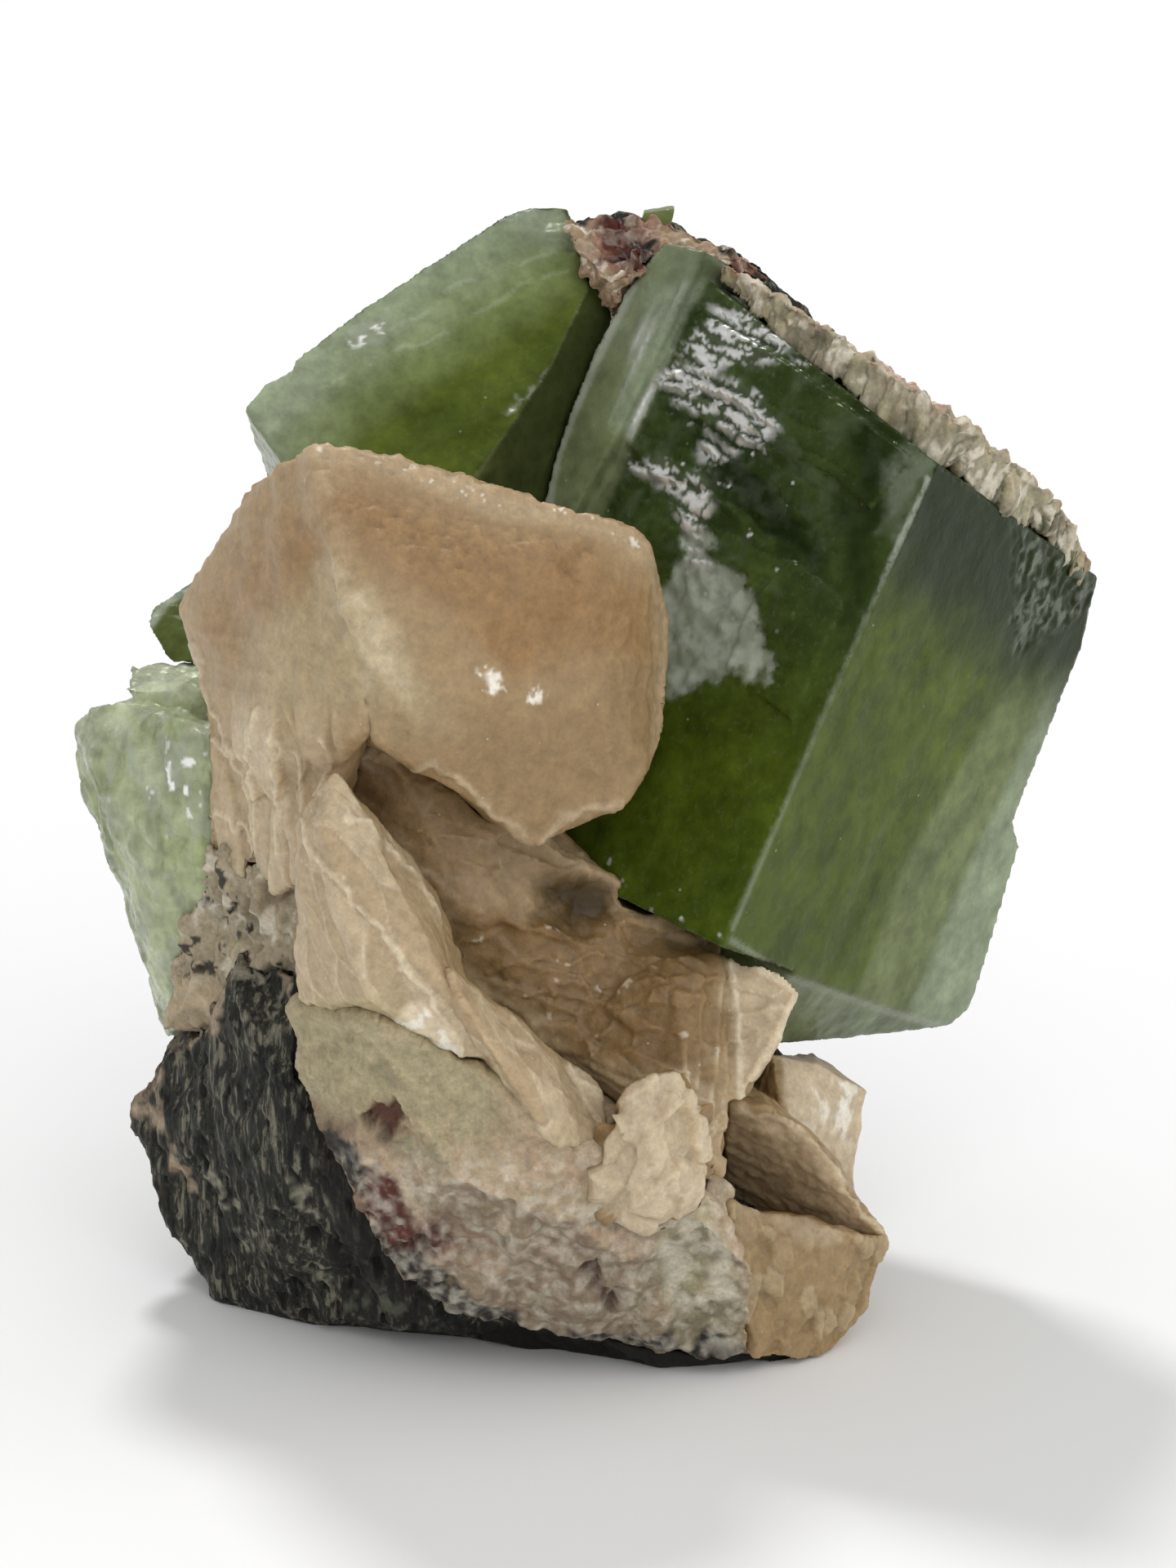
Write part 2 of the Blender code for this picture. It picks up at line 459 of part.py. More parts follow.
def basalt_wall():
    """The slab that stands behind the crystals and peeps over their upper right edge."""
    return hull([Vector(p) for p in (
        (-1.5, 17.0, 83.4), (2.5, 17.5, 83.8), (9.0, 17.0, 81.6), (14.0, 15.0, 80.0), (16.2, 15.0, 76.5),
        (23.0, 17.0, 71.0), (32.5, 17.0, 62.0), (36.0, 16.0, 56.0), (32.0, 19.0, 44.0), (14.5, 18.0, 26.0),
        (17.5, 16.0, 2.0), (-24.0, 12.0, 2.0), (-29.0, 8.0, 22.0), (-30.0, 10.0, 42.0), (-28.0, 14.0, 53.0),
        (-22.5, 10.0, 60.0), (-20.5, 16.0, 66.0), (0.0, 26.0, 76.0), (24.0, 27.0, 60.0), (19.0, 26.0, 31.0),
        (15.0, 26.0, 2.0), (-18.0, 25.0, 2.0), (-24.0, 23.0, 40.0), (-16.0, 25.0, 62.0), (-10.0, 5.0, 52.0),
        (14.0, 6.0, 30.0), (-18.0, 0.0, 44.0))])


def basalt_ledge():
    """A thick flake that is left standing on the back of the slab, with a step down to both sides."""
    return hull([Vector(p) for p in (
        (-21.0, 20.0, 50.0), (-23.0, 20.0, 24.0), (-17.0, 28.5, 47.0), (-19.0, 28.0, 26.0), (-6.0, 29.5, 60.0),
        (-8.0, 20.0, 64.0), (4.0, 29.0, 50.0), (8.0, 20.0, 54.0), (1.0, 29.5, 30.0), (6.0, 20.0, 26.0),
        (-8.0, 29.0, 18.0), (-9.0, 20.0, 12.0))])


def basalt_heel():
    """The lump at the back of the foot, under the flake."""
    return hull([Vector(p) for p in (
        (-2.0, 20.0, 20.0), (13.0, 20.0, 25.0), (16.5, 20.0, 12.0), (17.0, 20.0, -0.5), (-6.0, 20.0, -0.5),
        (2.0, 28.5, 15.0), (12.0, 29.0, 18.0), (15.5, 28.0, 8.0), (13.0, 27.0, -0.5), (0.0, 27.0, -0.5))])


def basalt_matrix(material):
    """The whole dark rock, cut flat where it rests."""
    bodies = [basalt_foot(), basalt_wall(), basalt_ledge(), basalt_heel()]
    rock, jackets = rough_mass("basalt_matrix", bodies, material,
                                BASALT_FACET, BASALT_BUMP, 41, 7.0)
    below = hull([Vector((x, y, z)) for x in (-60.0, 60.0) for y in (-60.0, 60.0) for z in (-20.0, 0.0)])
    combine(rock, make_object("below_the_foot", below), "DIFFERENCE")
    return rock, jackets


def centre_on_foot(made):
    """Move the specimen so that the middle of its box is over the origin, with its foot at zero."""
    corners = [vert.co for part in made for vert in part.data.vertices]
    low = [min(corner[axis] for corner in corners) for axis in range(3)]
    high = [max(corner[axis] for corner in corners) for axis in range(3)]
    shift = Vector((-(low[0] + high[0]) / 2, -(low[1] + high[1]) / 2, -low[2]))
    for part in made:
        for vert in part.data.vertices:
            vert.co += shift
    print("shift in mm", [round(value / MM, 3) for value in shift])
    print("size in mm", [round((high[axis] - low[axis]) / MM, 2) for axis in range(3)])


def build():
    clear_scene()
    green = make_material("apophyllite green", (0.13, 0.21, 0.07), 0.15, 0.6)
    pale_green = make_material("apophyllite pale green", (0.32, 0.42, 0.24), 0.2, 0.6)
    peach = make_material("stilbite peach", (0.60, 0.42, 0.28), 0.35)
    cream = make_material("druse cream", (0.55, 0.47, 0.38), 0.6)
    pink = make_material("crust pink", (0.50, 0.33, 0.26), 0.6)
    black = make_material("basalt black", (0.03, 0.03, 0.028), 0.75)

    makers = ((main_crystal, green), (upper_left_crystal, pale_green), (lower_left_crystal, pale_green),
              (small_left_crystal, green), (tiny_top_crystal, green), (crown_stilbite, peach),
              (ridge_stilbite, peach), (bowl_stilbite, peach), (right_stilbite, peach), (drusy_crust, cream),
              (peak_crust, pink), (upper_crust, cream), (basalt_matrix, black))
    pieces = []
    jackets = []
    for make, material in makers:
        piece, rooms = make(material)
        make_room(piece, jackets)
        jackets.extend(rooms)
        pieces.append(piece)
    centre_on_foot(pieces)
    for piece in pieces:
        print(piece.name, len(piece.data.polygons))


build()
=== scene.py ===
"""Looks of the green apophyllite and peach stilbite specimen on basalt.

Each solid of the model is remade with small even faces, given the ledges, pits, grains and growth lines of
the stone, and painted by its own nodes. Lengths are in millimetres until they are written to a mesh.
"""

import functools
import itertools
import math

import bmesh
import bpy
import numpy as np
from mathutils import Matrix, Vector


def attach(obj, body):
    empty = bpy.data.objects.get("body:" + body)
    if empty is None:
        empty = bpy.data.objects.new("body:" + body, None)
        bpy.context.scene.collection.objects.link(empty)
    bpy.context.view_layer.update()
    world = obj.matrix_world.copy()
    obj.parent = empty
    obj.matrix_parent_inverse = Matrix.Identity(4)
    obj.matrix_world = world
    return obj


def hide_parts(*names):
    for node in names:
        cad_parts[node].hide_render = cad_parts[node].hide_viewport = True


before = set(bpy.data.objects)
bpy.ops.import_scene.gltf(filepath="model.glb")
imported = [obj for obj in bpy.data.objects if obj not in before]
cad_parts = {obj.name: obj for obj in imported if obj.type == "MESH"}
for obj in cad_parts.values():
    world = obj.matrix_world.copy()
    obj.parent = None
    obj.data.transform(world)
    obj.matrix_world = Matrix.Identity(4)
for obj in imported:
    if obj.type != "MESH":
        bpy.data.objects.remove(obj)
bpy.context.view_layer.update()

MM = 0.001

# Points of a solid closer than this many metres are one point.
SAME_PLACE = 1e-6

# A surface this much turned from the camera is the back, which keeps this share of its faces.
TURNED_AWAY = -0.1
BACK_SHARE = 0.15

# The move that brings the specimen's own measuring point to the middle of its foot.
SHIFT = np.array((-0.233, -0.992, 0.0))

# The big crystal's nearest lower corner and its three directions.
CORNER = np.array((10.0, -19.0, 35.0))
UP_EDGE = np.array((0.4057, 0.2027, 0.8913))
RIGHT_EDGE = np.array((0.5360, 0.7365, -0.4116))
LEFT_EDGE = np.cross(UP_EDGE, RIGHT_EDGE)

# The leaning face of the upper left crystal.
TABLET_LEAN = math.radians(40.0)

# The camera: what it aims at, how far away and how high it stands, and its lens.
AIM = np.array((0.0, 0.0, 41.5))
DISTANCE = 287.73
TILT = math.radians(15.0)
LENS = 85.0
SENSOR = 36.0
PICTURE = (1440.0, 1920.0)
TOWARD = np.array((0.0, -math.cos(TILT), math.sin(TILT)))


# Random patterns that are the same on every run. Large numbers scramble a cell's place and seed.
SCRAMBLE = (73856093, 19349663, 83492791, 26544357, 1274126177)
LOW_BITS = 0xFFFFFF

# The layers of rough noise: each is finer and weaker than the one before, and shifted.
NOISE_LAYERS = 4
FINER = 2.07
WEAKER = 0.5
APART = 5.3


def cell_number(cells, seed):
    """A fixed random number from 0 to 1 for each whole-number cell."""
    x, y, z = (cells[:, axis].astype(np.int64) * SCRAMBLE[axis] for axis in range(3))
    mixed = x ^ y ^ z ^ np.int64(seed * SCRAMBLE[3])
    mixed = (mixed ^ (mixed >> 13)) * SCRAMBLE[4]
    mixed = mixed ^ (mixed >> 16)
    return (mixed & LOW_BITS) / LOW_BITS


def columns(*values):
    """Places or points from their separate numbers."""
    return np.column_stack(values)


def in_space(places):
    """Places as points in space: flat ones lie at height 0."""
    return places if places.shape[1] == 3 else columns(places, np.zeros(len(places)))


def soft_noise(places, seed):
    """Smooth random heights from -1 to 1."""
    points = in_space(places)
    base = np.floor(points)
    part = points - base
    part = part * part * (3.0 - 2.0 * part)
    total = np.zeros(len(points))
    for x, y, z in itertools.product((0, 1), repeat=3):
        weight = np.abs(1 - x - part[:, 0]) * np.abs(1 - y - part[:, 1]) * np.abs(1 - z - part[:, 2])
        total += weight * cell_number(base + (x, y, z), seed)
    return total * 2.0 - 1.0


def noise(places, seed):
    """Smooth noise with finer and finer noise on it."""
    points = in_space(places)
    total = np.zeros(len(points))
    for layer in range(NOISE_LAYERS):
        total += soft_noise(points * FINER ** layer + layer * APART, seed + layer) * WEAKER ** layer
    return total


def scattered(places, seed):
    """Distance to the nearest of scattered seeds, how much further the next one is, and a number for the nearest."""
    points = in_space(places)
    base = np.floor(points)
    first = np.full(len(points), 9.0)
    second = first
    number = np.zeros(len(points))
    for offset in itertools.product((-1, 0, 1), repeat=3):
        cell = base + offset
        place = cell + columns(*(cell_number(cell, seed + k) for k in (1, 2, 3)))
        away = np.linalg.norm(points - place, axis=1)
        nearer = away < first
        second = np.where(nearer, first, np.minimum(second, away))
        number = np.where(nearer, cell_number(cell, seed + 4), number)
        first = np.where(nearer, away, first)
    return first, second - first, number


# Places on the surfaces.

def step(low, high, value):
    """0 below low, 1 above high and a smooth rise between them."""
    part = np.clip((value - low) / (high - low), 0.0, 1.0)
    return part * part * (3.0 - 2.0 * part)


def most(*values):
    """The largest of the values at each place."""
    return functools.reduce(np.maximum, values)


def front_view(points):
    """Where points show in the picture from the front, in pixels of its whole frame."""
    away = points - AIM - TOWARD * DISTANCE
    depth = -(away @ TOWARD)
    rise = np.array((0.0, math.sin(TILT), math.cos(TILT)))
    zoom = LENS / SENSOR * PICTURE[1] / depth
    return np.stack([PICTURE[0] / 2 + zoom * away[:, 0], PICTURE[1] / 2 - zoom * (away @ rise)], axis=1)


def facing_front(normals):
    """1 on what the front view sees, 0 on what it doesn't."""
    return step(0.05, 0.35, normals @ TOWARD)


def along_crystal(points):
    """Distances along the big crystal's own edges: back to the left, back to the right, and up."""
    away = points - CORNER
    return away @ LEFT_EDGE, away @ RIGHT_EDGE, away @ UP_EDGE


def patches(low, high, places, seed):
    """Random patches with soft borders: 1 where the noise is above high, 0 where it is below low."""
    return step(low, high, noise(places, seed))


def wandering(flat, size, reach, seed):
    """The same places moved a little, so that straight borders become natural ones."""
    deep = flat / size
    return flat + reach * columns(noise(deep, seed), noise(deep, seed + 50))


def line_distance(flat, start, end):
    """Distance of the places from a straight line between two places."""
    run = np.array(end, float) - np.array(start, float)
    part = np.clip((flat - start) @ run / (run @ run), 0.0, 1.0)
    return np.linalg.norm(flat - start - part[:, None] * run, axis=1)


def stroke(flat, line, width):
    """1 on a line through the places, falling to 0 at the width."""
    away = np.minimum.reduce([line_distance(flat, start, end) for start, end in zip(line[:-1], line[1:])])
    return 1.0 - step(0.15 * width, width, away)


def strokes(flat, lines, width):
    """The same for several lines."""
    return np.maximum.reduce([stroke(flat, line, width) for line in lines])


def inside(flat, outline, soft):
    """1 within the outline, with a soft border."""
    away = np.full(len(flat), 1e9)
    within = np.zeros(len(flat), bool)
    for start, end in zip(outline, outline[1:] + outline[:1]):
        away = np.minimum(away, line_distance(flat, start, end))
        if start[1] != end[1]:
            crosses = (start[1] > flat[:, 1]) != (end[1] > flat[:, 1])
            across = start[0] + (flat[:, 1] - start[1]) * (end[0] - start[0]) / (end[1] - start[1])
            within ^= crosses & (flat[:, 0] < across)
    return step(-soft, soft, np.where(within, away, -away))


def insides(flat, outlines, soft):
    """The same for several outlines."""
    return np.maximum.reduce([inside(flat, outline, soft) for outline in outlines])


# Meshes.

def read_vectors(items, name):
    """Points or normals of a mesh as rows of three numbers."""
    flat = np.empty(len(items) * 3, dtype=np.float32)
    items.foreach_get(name, flat)
    return flat.reshape(-1, 3).astype(np.float64)


def settle(piece):
    """Replace the piece's mesh by the one that its modifiers make."""
    view = bpy.context.evaluated_depsgraph_get()
    mesh = bpy.data.meshes.new_from_object(piece.evaluated_get(view))
    piece.modifiers.clear()
    piece.data = mesh


def dense_copy(node, name, cell, smoothing):
    """A copy of a solid of the model with small even faces that lie on its surface."""
    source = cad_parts[node]
    bm = bmesh.new()
    bm.from_mesh(source.data)
    bmesh.ops.remove_doubles(bm, verts=bm.verts, dist=SAME_PLACE)
    mesh = bpy.data.meshes.new(name)
    bm.to_mesh(mesh)
    bm.free()
    piece = bpy.data.objects.new(name, mesh)
    bpy.context.scene.collection.objects.link(piece)
    cells = piece.modifiers.new("cells", "REMESH")
    cells.mode = "VOXEL"
    cells.voxel_size = cell * MM
    wrap = piece.modifiers.new("wrap", "SHRINKWRAP")
    wrap.target = source
    wrap.wrap_method = "NEAREST_SURFACEPOINT"
    if smoothing:
        smooth = piece.modifiers.new("smooth", "SMOOTH")
        smooth.factor = 0.5
        smooth.iterations = smoothing
    settle(piece)
    return piece


def carve(piece, shape):
    """Move the points as the stone grew or broke, keep the masks for the paint, and find the points at the back."""
    mesh = piece.data
    points = read_vectors(mesh.vertices, "co") / MM - SHIFT
    normals = read_vectors(mesh.vertex_normals, "vector")
    moves, masks = shape(points, normals, front_view(points), facing_front(normals))
    moved = points + (moves if moves.ndim == 2 else normals * moves[:, None])
    moved[:, 2] = np.maximum(moved[:, 2], 0.0)
    mesh.vertices.foreach_set("co", ((moved + SHIFT) * MM).astype(np.float32).ravel())
    for name, values in masks.items():
        layer = mesh.attributes.new(name, "FLOAT", "POINT")
        shares = np.broadcast_to(np.clip(values, 0.0, 1.0), len(points))
        layer.data.foreach_set("value", shares.astype(np.float32))
    mesh.update()
    return np.flatnonzero(normals @ TOWARD < TURNED_AWAY)


def thin_back(piece, back):
    """Leave fewer faces at the back, where the surface is plainer."""
    group = piece.vertex_groups.new(name="back")
    group.add(back.tolist(), 1.0, "REPLACE")
    fewer = piece.modifiers.new("fewer", "DECIMATE")
    fewer.vertex_group = group.name
    fewer.ratio = 1.0 - (1.0 - BACK_SHARE) * len(back) / len(piece.data.vertices)
    settle(piece)


def finish_piece(piece, material, node):
    """Give the piece its paint and let it stand for its solid."""
    piece.data.materials.clear()
    piece.data.materials.append(material)
    piece.data.polygons.foreach_set("use_smooth", [True] * len(piece.data.polygons))
    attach(piece, "root")
    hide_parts(node)


# Paint.

def rgb(red, green, blue):
    """A colour given by three numbers from 0 to 255."""
    def straighten(value):
        value = value / 255.0
        return value / 12.92 if value <= 0.04045 else ((value + 0.055) / 1.055) ** 2.4
    return (straighten(red), straighten(green), straighten(blue), 1.0)


class Paint:
    """A node material that is put together step by step."""

    def __init__(self, name):
        self.material = bpy.data.materials.new(name)
        self.material.use_nodes = True
        self.tree = self.material.node_tree
        self.shader = self.tree.nodes["Principled BSDF"]
        self.place = self.add("TexCoord").outputs["Object"]

    def put(self, socket, value):
        """Join an output to the socket, or set it. A colour of three numbers has them from 0 to 255."""
        if isinstance(value, bpy.types.NodeSocket):
            self.tree.links.new(value, socket)
        elif socket.type == "RGBA" and len(value) == 3:
            socket.default_value = rgb(*value)
        else:
            socket.default_value = value

    def set(self, **values):
        """Set the shader's own sockets by their names, with underscores for spaces."""
        for name, value in values.items():
            self.put(self.shader.inputs[name.replace("_", " ")], value)

    def add(self, kind, **values):
        """A new node, with its sockets set by their names."""
        node = self.tree.nodes.new("ShaderNode" + kind)
        for name, value in values.items():
            self.put(node.inputs[name], value)
        return node

    def turned(self, turn, stretch):
        """The place on the object, turned and stretched."""
        return self.add("Mapping", Vector=self.place, Rotation=turn, Scale=stretch).outputs["Vector"]

    def noise(self, width, place=None, detail=4.0, roughness=0.6):
        """Noise whose blobs are about this many millimetres wide."""
        scale = 1.0 / (width * MM)
        return self.add("TexNoise", Vector=place or self.place, Scale=scale, Detail=detail,
                        Roughness=roughness).outputs["Fac"]

    def cells(self, width):
        """Scattered cells about this many millimetres wide."""
        return self.add("TexVoronoi", Vector=self.place, Scale=1.0 / (width * MM)).outputs["Distance"]

    def mask(self, name):
        """A mask that was kept on the mesh."""
        node = self.add("Attribute")
        node.attribute_name = name
        return node.outputs["Fac"]

    def ramp(self, value, *stops):
        """A grey that changes with the value between two stops, each a place and a brightness."""
        node = self.add("ValToRGB", Fac=value)
        for point, (position, grey) in zip(node.color_ramp.elements, stops):
            point.position = position
            point.color = (grey, grey, grey, 1.0)
        return node.outputs["Color"]

    def mix(self, factor, first, second, blend="MIX"):
        """One colour over another."""
        node = self.tree.nodes.new("ShaderNodeMix")
        node.data_type = "RGBA"
        node.blend_type = blend
        self.put(node.inputs["Factor"], factor)
        for socket, color in zip([socket for socket in node.inputs if socket.type == "RGBA"], (first, second)):
            self.put(socket, color)
        return next(socket for socket in node.outputs if socket.type == "RGBA")

    def over(self, color, pattern, *layers):
        """Lay colours over the first: each layer is a mask and a colour, or two colours mixed by the pattern."""
        for layer, *colors in layers:
            factor = self.mask(layer) if isinstance(layer, str) else layer
            color = self.mix(factor, color, self.mix(pattern, *colors) if len(colors) == 2 else colors[0])
        return color

    def grain(self, color, *layers):
        """Make the colour a little darker and lighter; each layer is a pattern and a depth."""
        for value, depth in layers:
            color = self.mix(1.0, color, self.ramp(value, (0.3, 1.0 - depth), (0.7, 1.0 + depth)), "MULTIPLY")
        return color

    def relief(self, *layers):
        """Relief in layers; each is a pattern, a depth in millimetres and a strength."""
        below = {}
        for height, depth, strength in layers:
            node = self.add("Bump", Height=height, Distance=depth * MM, Strength=strength, **below)
            below = {"Normal": node.outputs["Normal"]}
        self.set(**below)

    def absorb(self, color, density):
        """Let the light lose colour on its way through the crystal."""
        node = self.add("VolumeAbsorption", Color=color, Density=density)
        self.tree.links.new(node.outputs["Volume"], self.tree.nodes["Material Output"].inputs["Volume"])


# The big crystal's long direction, as a turn of the nodes' own axes, and the slope of the rock's streaks.
CRYSTAL_TURN = (0.0, math.radians(-24.5), math.radians(54.0))
ROCK_TURN = (0.0, math.radians(-8.0), 0.0)


def green_paint(name, plain, deep, middle, pale, transmission):
    """Clear green crystal: the masks say where it is olive, grey-green, pale, frosted, very dark or darkened by
    painted shade, and where painted highlights lie on it.
    """
    paint = Paint(name)
    along = paint.turned(CRYSTAL_TURN, (1.0, 1.0, 0.10))
    cloud = paint.noise(5.0, detail=6.0)
    mottle = paint.noise(1.6, detail=5.0, roughness=0.65)
    fine = paint.noise(0.5, detail=5.0, roughness=0.7)
    streak = paint.noise(0.9, along, detail=5.0, roughness=0.6)
    color = paint.mix(cloud, deep, plain)
    color = paint.over(color, cloud, ("olive", (70, 88, 8), (98, 114, 26)), ("middle", middle, (140, 152, 100)),
                       ("pale", pale))
    color = paint.grain(color, (cloud, 0.25), (mottle, 0.25), (streak, 0.03))
    speck = paint.ramp(paint.cells(2.6), (0.02, 0.6), (0.06, 0.0))
    haze = paint.ramp(fine, (0.55, 0.0), (0.80, 0.32))
    color = paint.over(color, mottle, (haze, (132, 152, 116)), (speck, (190, 200, 170)),
                       # The dark layer holds the crystal's own very dark green and also painted shade: under the rind,
                       # beneath the ledges and on shaded sides.
                       ("dark", (8, 16, 0), (38, 54, 14)), ("frost", (138, 150, 120), (226, 232, 218)),
                       # The last layer, near white, is painted highlight on the glinting places; the same mask also
                       # makes them partly metallic, which adds a real reflection.
                       ("glint", (255, 255, 252)))
    smooth = paint.ramp(mottle, (0.3, 0.10), (0.75, 0.28))
    paint.set(Base_Color=color, IOR=1.535, Transmission_Weight=transmission, Specular_IOR_Level=0.12,
              Specular_Tint=(0.30, 0.42, 0.20, 1.0),
              Metallic=paint.ramp(paint.mask("glint"), (0.0, 0.0), (1.0, 0.55)),
              Roughness=paint.mix(paint.mask("frost"), smooth, (0.45, 0.45, 0.45, 1.0)))
    paint.relief((streak, 0.008, 0.6), (mottle, 0.06, 0.6), (fine, 0.04, 0.7))
    paint.absorb((160, 186, 84), 76.0)
    return paint.material


def stilbite_paint(name):
    """Waxy peach: the masks say where it is lighter, partly by painted light; browner, by painted shade; greener; in
    painted shade in hollows and in deep painted shade; and where it has white specks and painted highlights.
    """
    paint = Paint(name)
    cloud = paint.noise(4.0, detail=5.0)
    mottle = paint.noise(1.1, detail=5.0, roughness=0.65)
    fine = paint.noise(0.35, detail=4.0, roughness=0.7)
    color = paint.mix(cloud, (158, 133, 96), (176, 150, 113))
    # shade, hollow and deep are painted shade; light is partly the stone's paler colour and partly painted light;
    # white is partly painted highlight.
    color = paint.over(color, mottle, ("shade", (142, 108, 66), (166, 132, 90)),
                       ("light", (200, 182, 150), (226, 212, 186)), ("green", (168, 164, 118), (200, 194, 156)),
                       ("hollow", (118, 90, 52), (146, 118, 78)), ("deep", (70, 54, 22)), ("white", (244, 238, 224)))
    color = paint.grain(color, (mottle, 0.14), (fine, 0.10))
    speck = paint.ramp(paint.cells(2.2), (0.02, 0.5), (0.05, 0.0))
    paint.set(Base_Color=paint.mix(speck, color, (232, 222, 200)), IOR=1.5, Specular_IOR_Level=0.32,
              Coat_Weight=0.08, Coat_Roughness=0.22, Subsurface_Weight=0.4, Subsurface_Scale=0.0022,
              Subsurface_Radius=(1.0, 0.62, 0.35), Roughness=paint.ramp(mottle, (0.3, 0.30), (0.7, 0.55)))
    paint.relief((mottle, 0.16, 0.7), (fine, 0.07, 0.8))
    return paint.material


def druse_paint(name, plain, light, dark, darkest):
    """Granular crust: the masks say where it is green, grey, pink, rust-red or black; the black is partly painted
    shade.
    """
    paint = Paint(name)
    cloud = paint.noise(3.0, detail=6.0)
    mottle = paint.noise(1.0, detail=5.0, roughness=0.7)
    fine = paint.noise(0.35, detail=4.0, roughness=0.75)
    color = paint.mix(cloud, plain, light)
    color = paint.over(color, mottle, ("green", (140, 136, 96), (188, 180, 144)),
                       ("grey", (118, 116, 96), (176, 170, 150)), ("pink", (160, 116, 94), (200, 166, 144)),
                       ("red", (62, 22, 14), (114, 58, 44)), ("black", paint.mix(fine, darkest, dark)),
                       ("white", (228, 220, 202)))
    color = paint.grain(color, (mottle, 0.20), (fine, 0.16))
    paint.set(Base_Color=color, IOR=1.5, Specular_IOR_Level=0.3, Subsurface_Weight=0.15, Subsurface_Scale=0.0012,
              Roughness=paint.ramp(mottle, (0.35, 0.35), (0.7, 0.75)))
    paint.relief((paint.cells(0.7), 0.12, 0.5), (mottle, 0.15, 0.7), (fine, 0.08, 0.9))
    return paint.material


def basalt_paint(name):
    """Charcoal with pale streaks, dark bubbles and a dusty cream rim."""
    paint = Paint(name)
    cloud = paint.noise(4.0, detail=6.0)
    fine = paint.noise(0.4, detail=5.0, roughness=0.75)
    streak = paint.noise(0.65, paint.turned(ROCK_TURN, (1.0, 1.0, 0.14)), detail=5.0, roughness=0.7)
    color = paint.mix(cloud, (30, 30, 25), (54, 54, 46))
    color = paint.over(color, fine, (paint.ramp(streak, (0.52, 0.0), (0.62, 1.0)), (122, 118, 102)),
                       (paint.ramp(streak, (0.38, 1.0), (0.49, 0.0)), (10, 10, 8)),
                       ("pale", (120, 118, 100), (160, 156, 138)), ("hole", (10, 10, 9)),
                       ("black", (14, 13, 11), (34, 31, 27)), ("green", (60, 62, 52), (104, 108, 92)),
                       ("rind", (140, 118, 98), (198, 182, 156)), ("red", (96, 56, 44)))
    paint.set(Base_Color=paint.grain(color, (fine, 0.25)), Specular_IOR_Level=0.3, IOR=1.5,
              Roughness=paint.ramp(fine, (0.3, 0.50), (0.7, 0.85)))
    paint.relief((streak, 0.22, 0.7), (fine, 0.12, 0.9))
    return paint.material


# Shapes of the surfaces. All are called with the points, their normals, their places in the front view and how much
# they face it. Each gives relief along the normals, or whole moves, in millimetres, and the masks for the paint. The
# outlines are places in the front view, across and down.

# Broken ledges of the big crystal's left face, where highlights are painted, its frosted patch, and the step above the
# patch, darkened by painted shade.
LEDGES = (((868, 372), (925, 376), (985, 425), (965, 452), (850, 455), (832, 428)),
    ((806, 452), (850, 448), (905, 482), (962, 520), (905, 540), (850, 512), (806, 478)),
    ((850, 538), (895, 548), (885, 570), (848, 562)),
    ((770, 556), (850, 580), (882, 600), (862, 640), (850, 690), (834, 700), (830, 620)))
FROSTED = ((858, 650), (905, 700), (925, 775), (938, 800), (925, 836), (880, 822), (842, 838), (812, 856), (800, 760),
    (822, 700))
SHADED_STEP = ((815, 500), (930, 540), (1010, 690), (930, 650), (870, 590))
DARK_CORNER = ((1050, 480), (1112, 528), (1098, 620), (1080, 700), (1035, 760), (1030, 620))
HAZY_CORNER = ((1095, 560), (1150, 560), (1110, 650), (1085, 660))
FRONT_EDGE = ((1137, 585), (1090, 690), (1015, 860), (955, 1000), (897, 1138))
LOWER_EDGE = ((897, 1152), (960, 1195), (1075, 1235), (1170, 1262))
CHIPPED = ((1240, 640), (1330, 690), (1340, 740), (1245, 800))
STRIP = ((800, 350), (860, 345), (820, 470), (775, 540), (748, 520), (775, 430))
PLATE_RIM = ((775, 350), (735, 430), (700, 510), (682, 560), (668, 640))


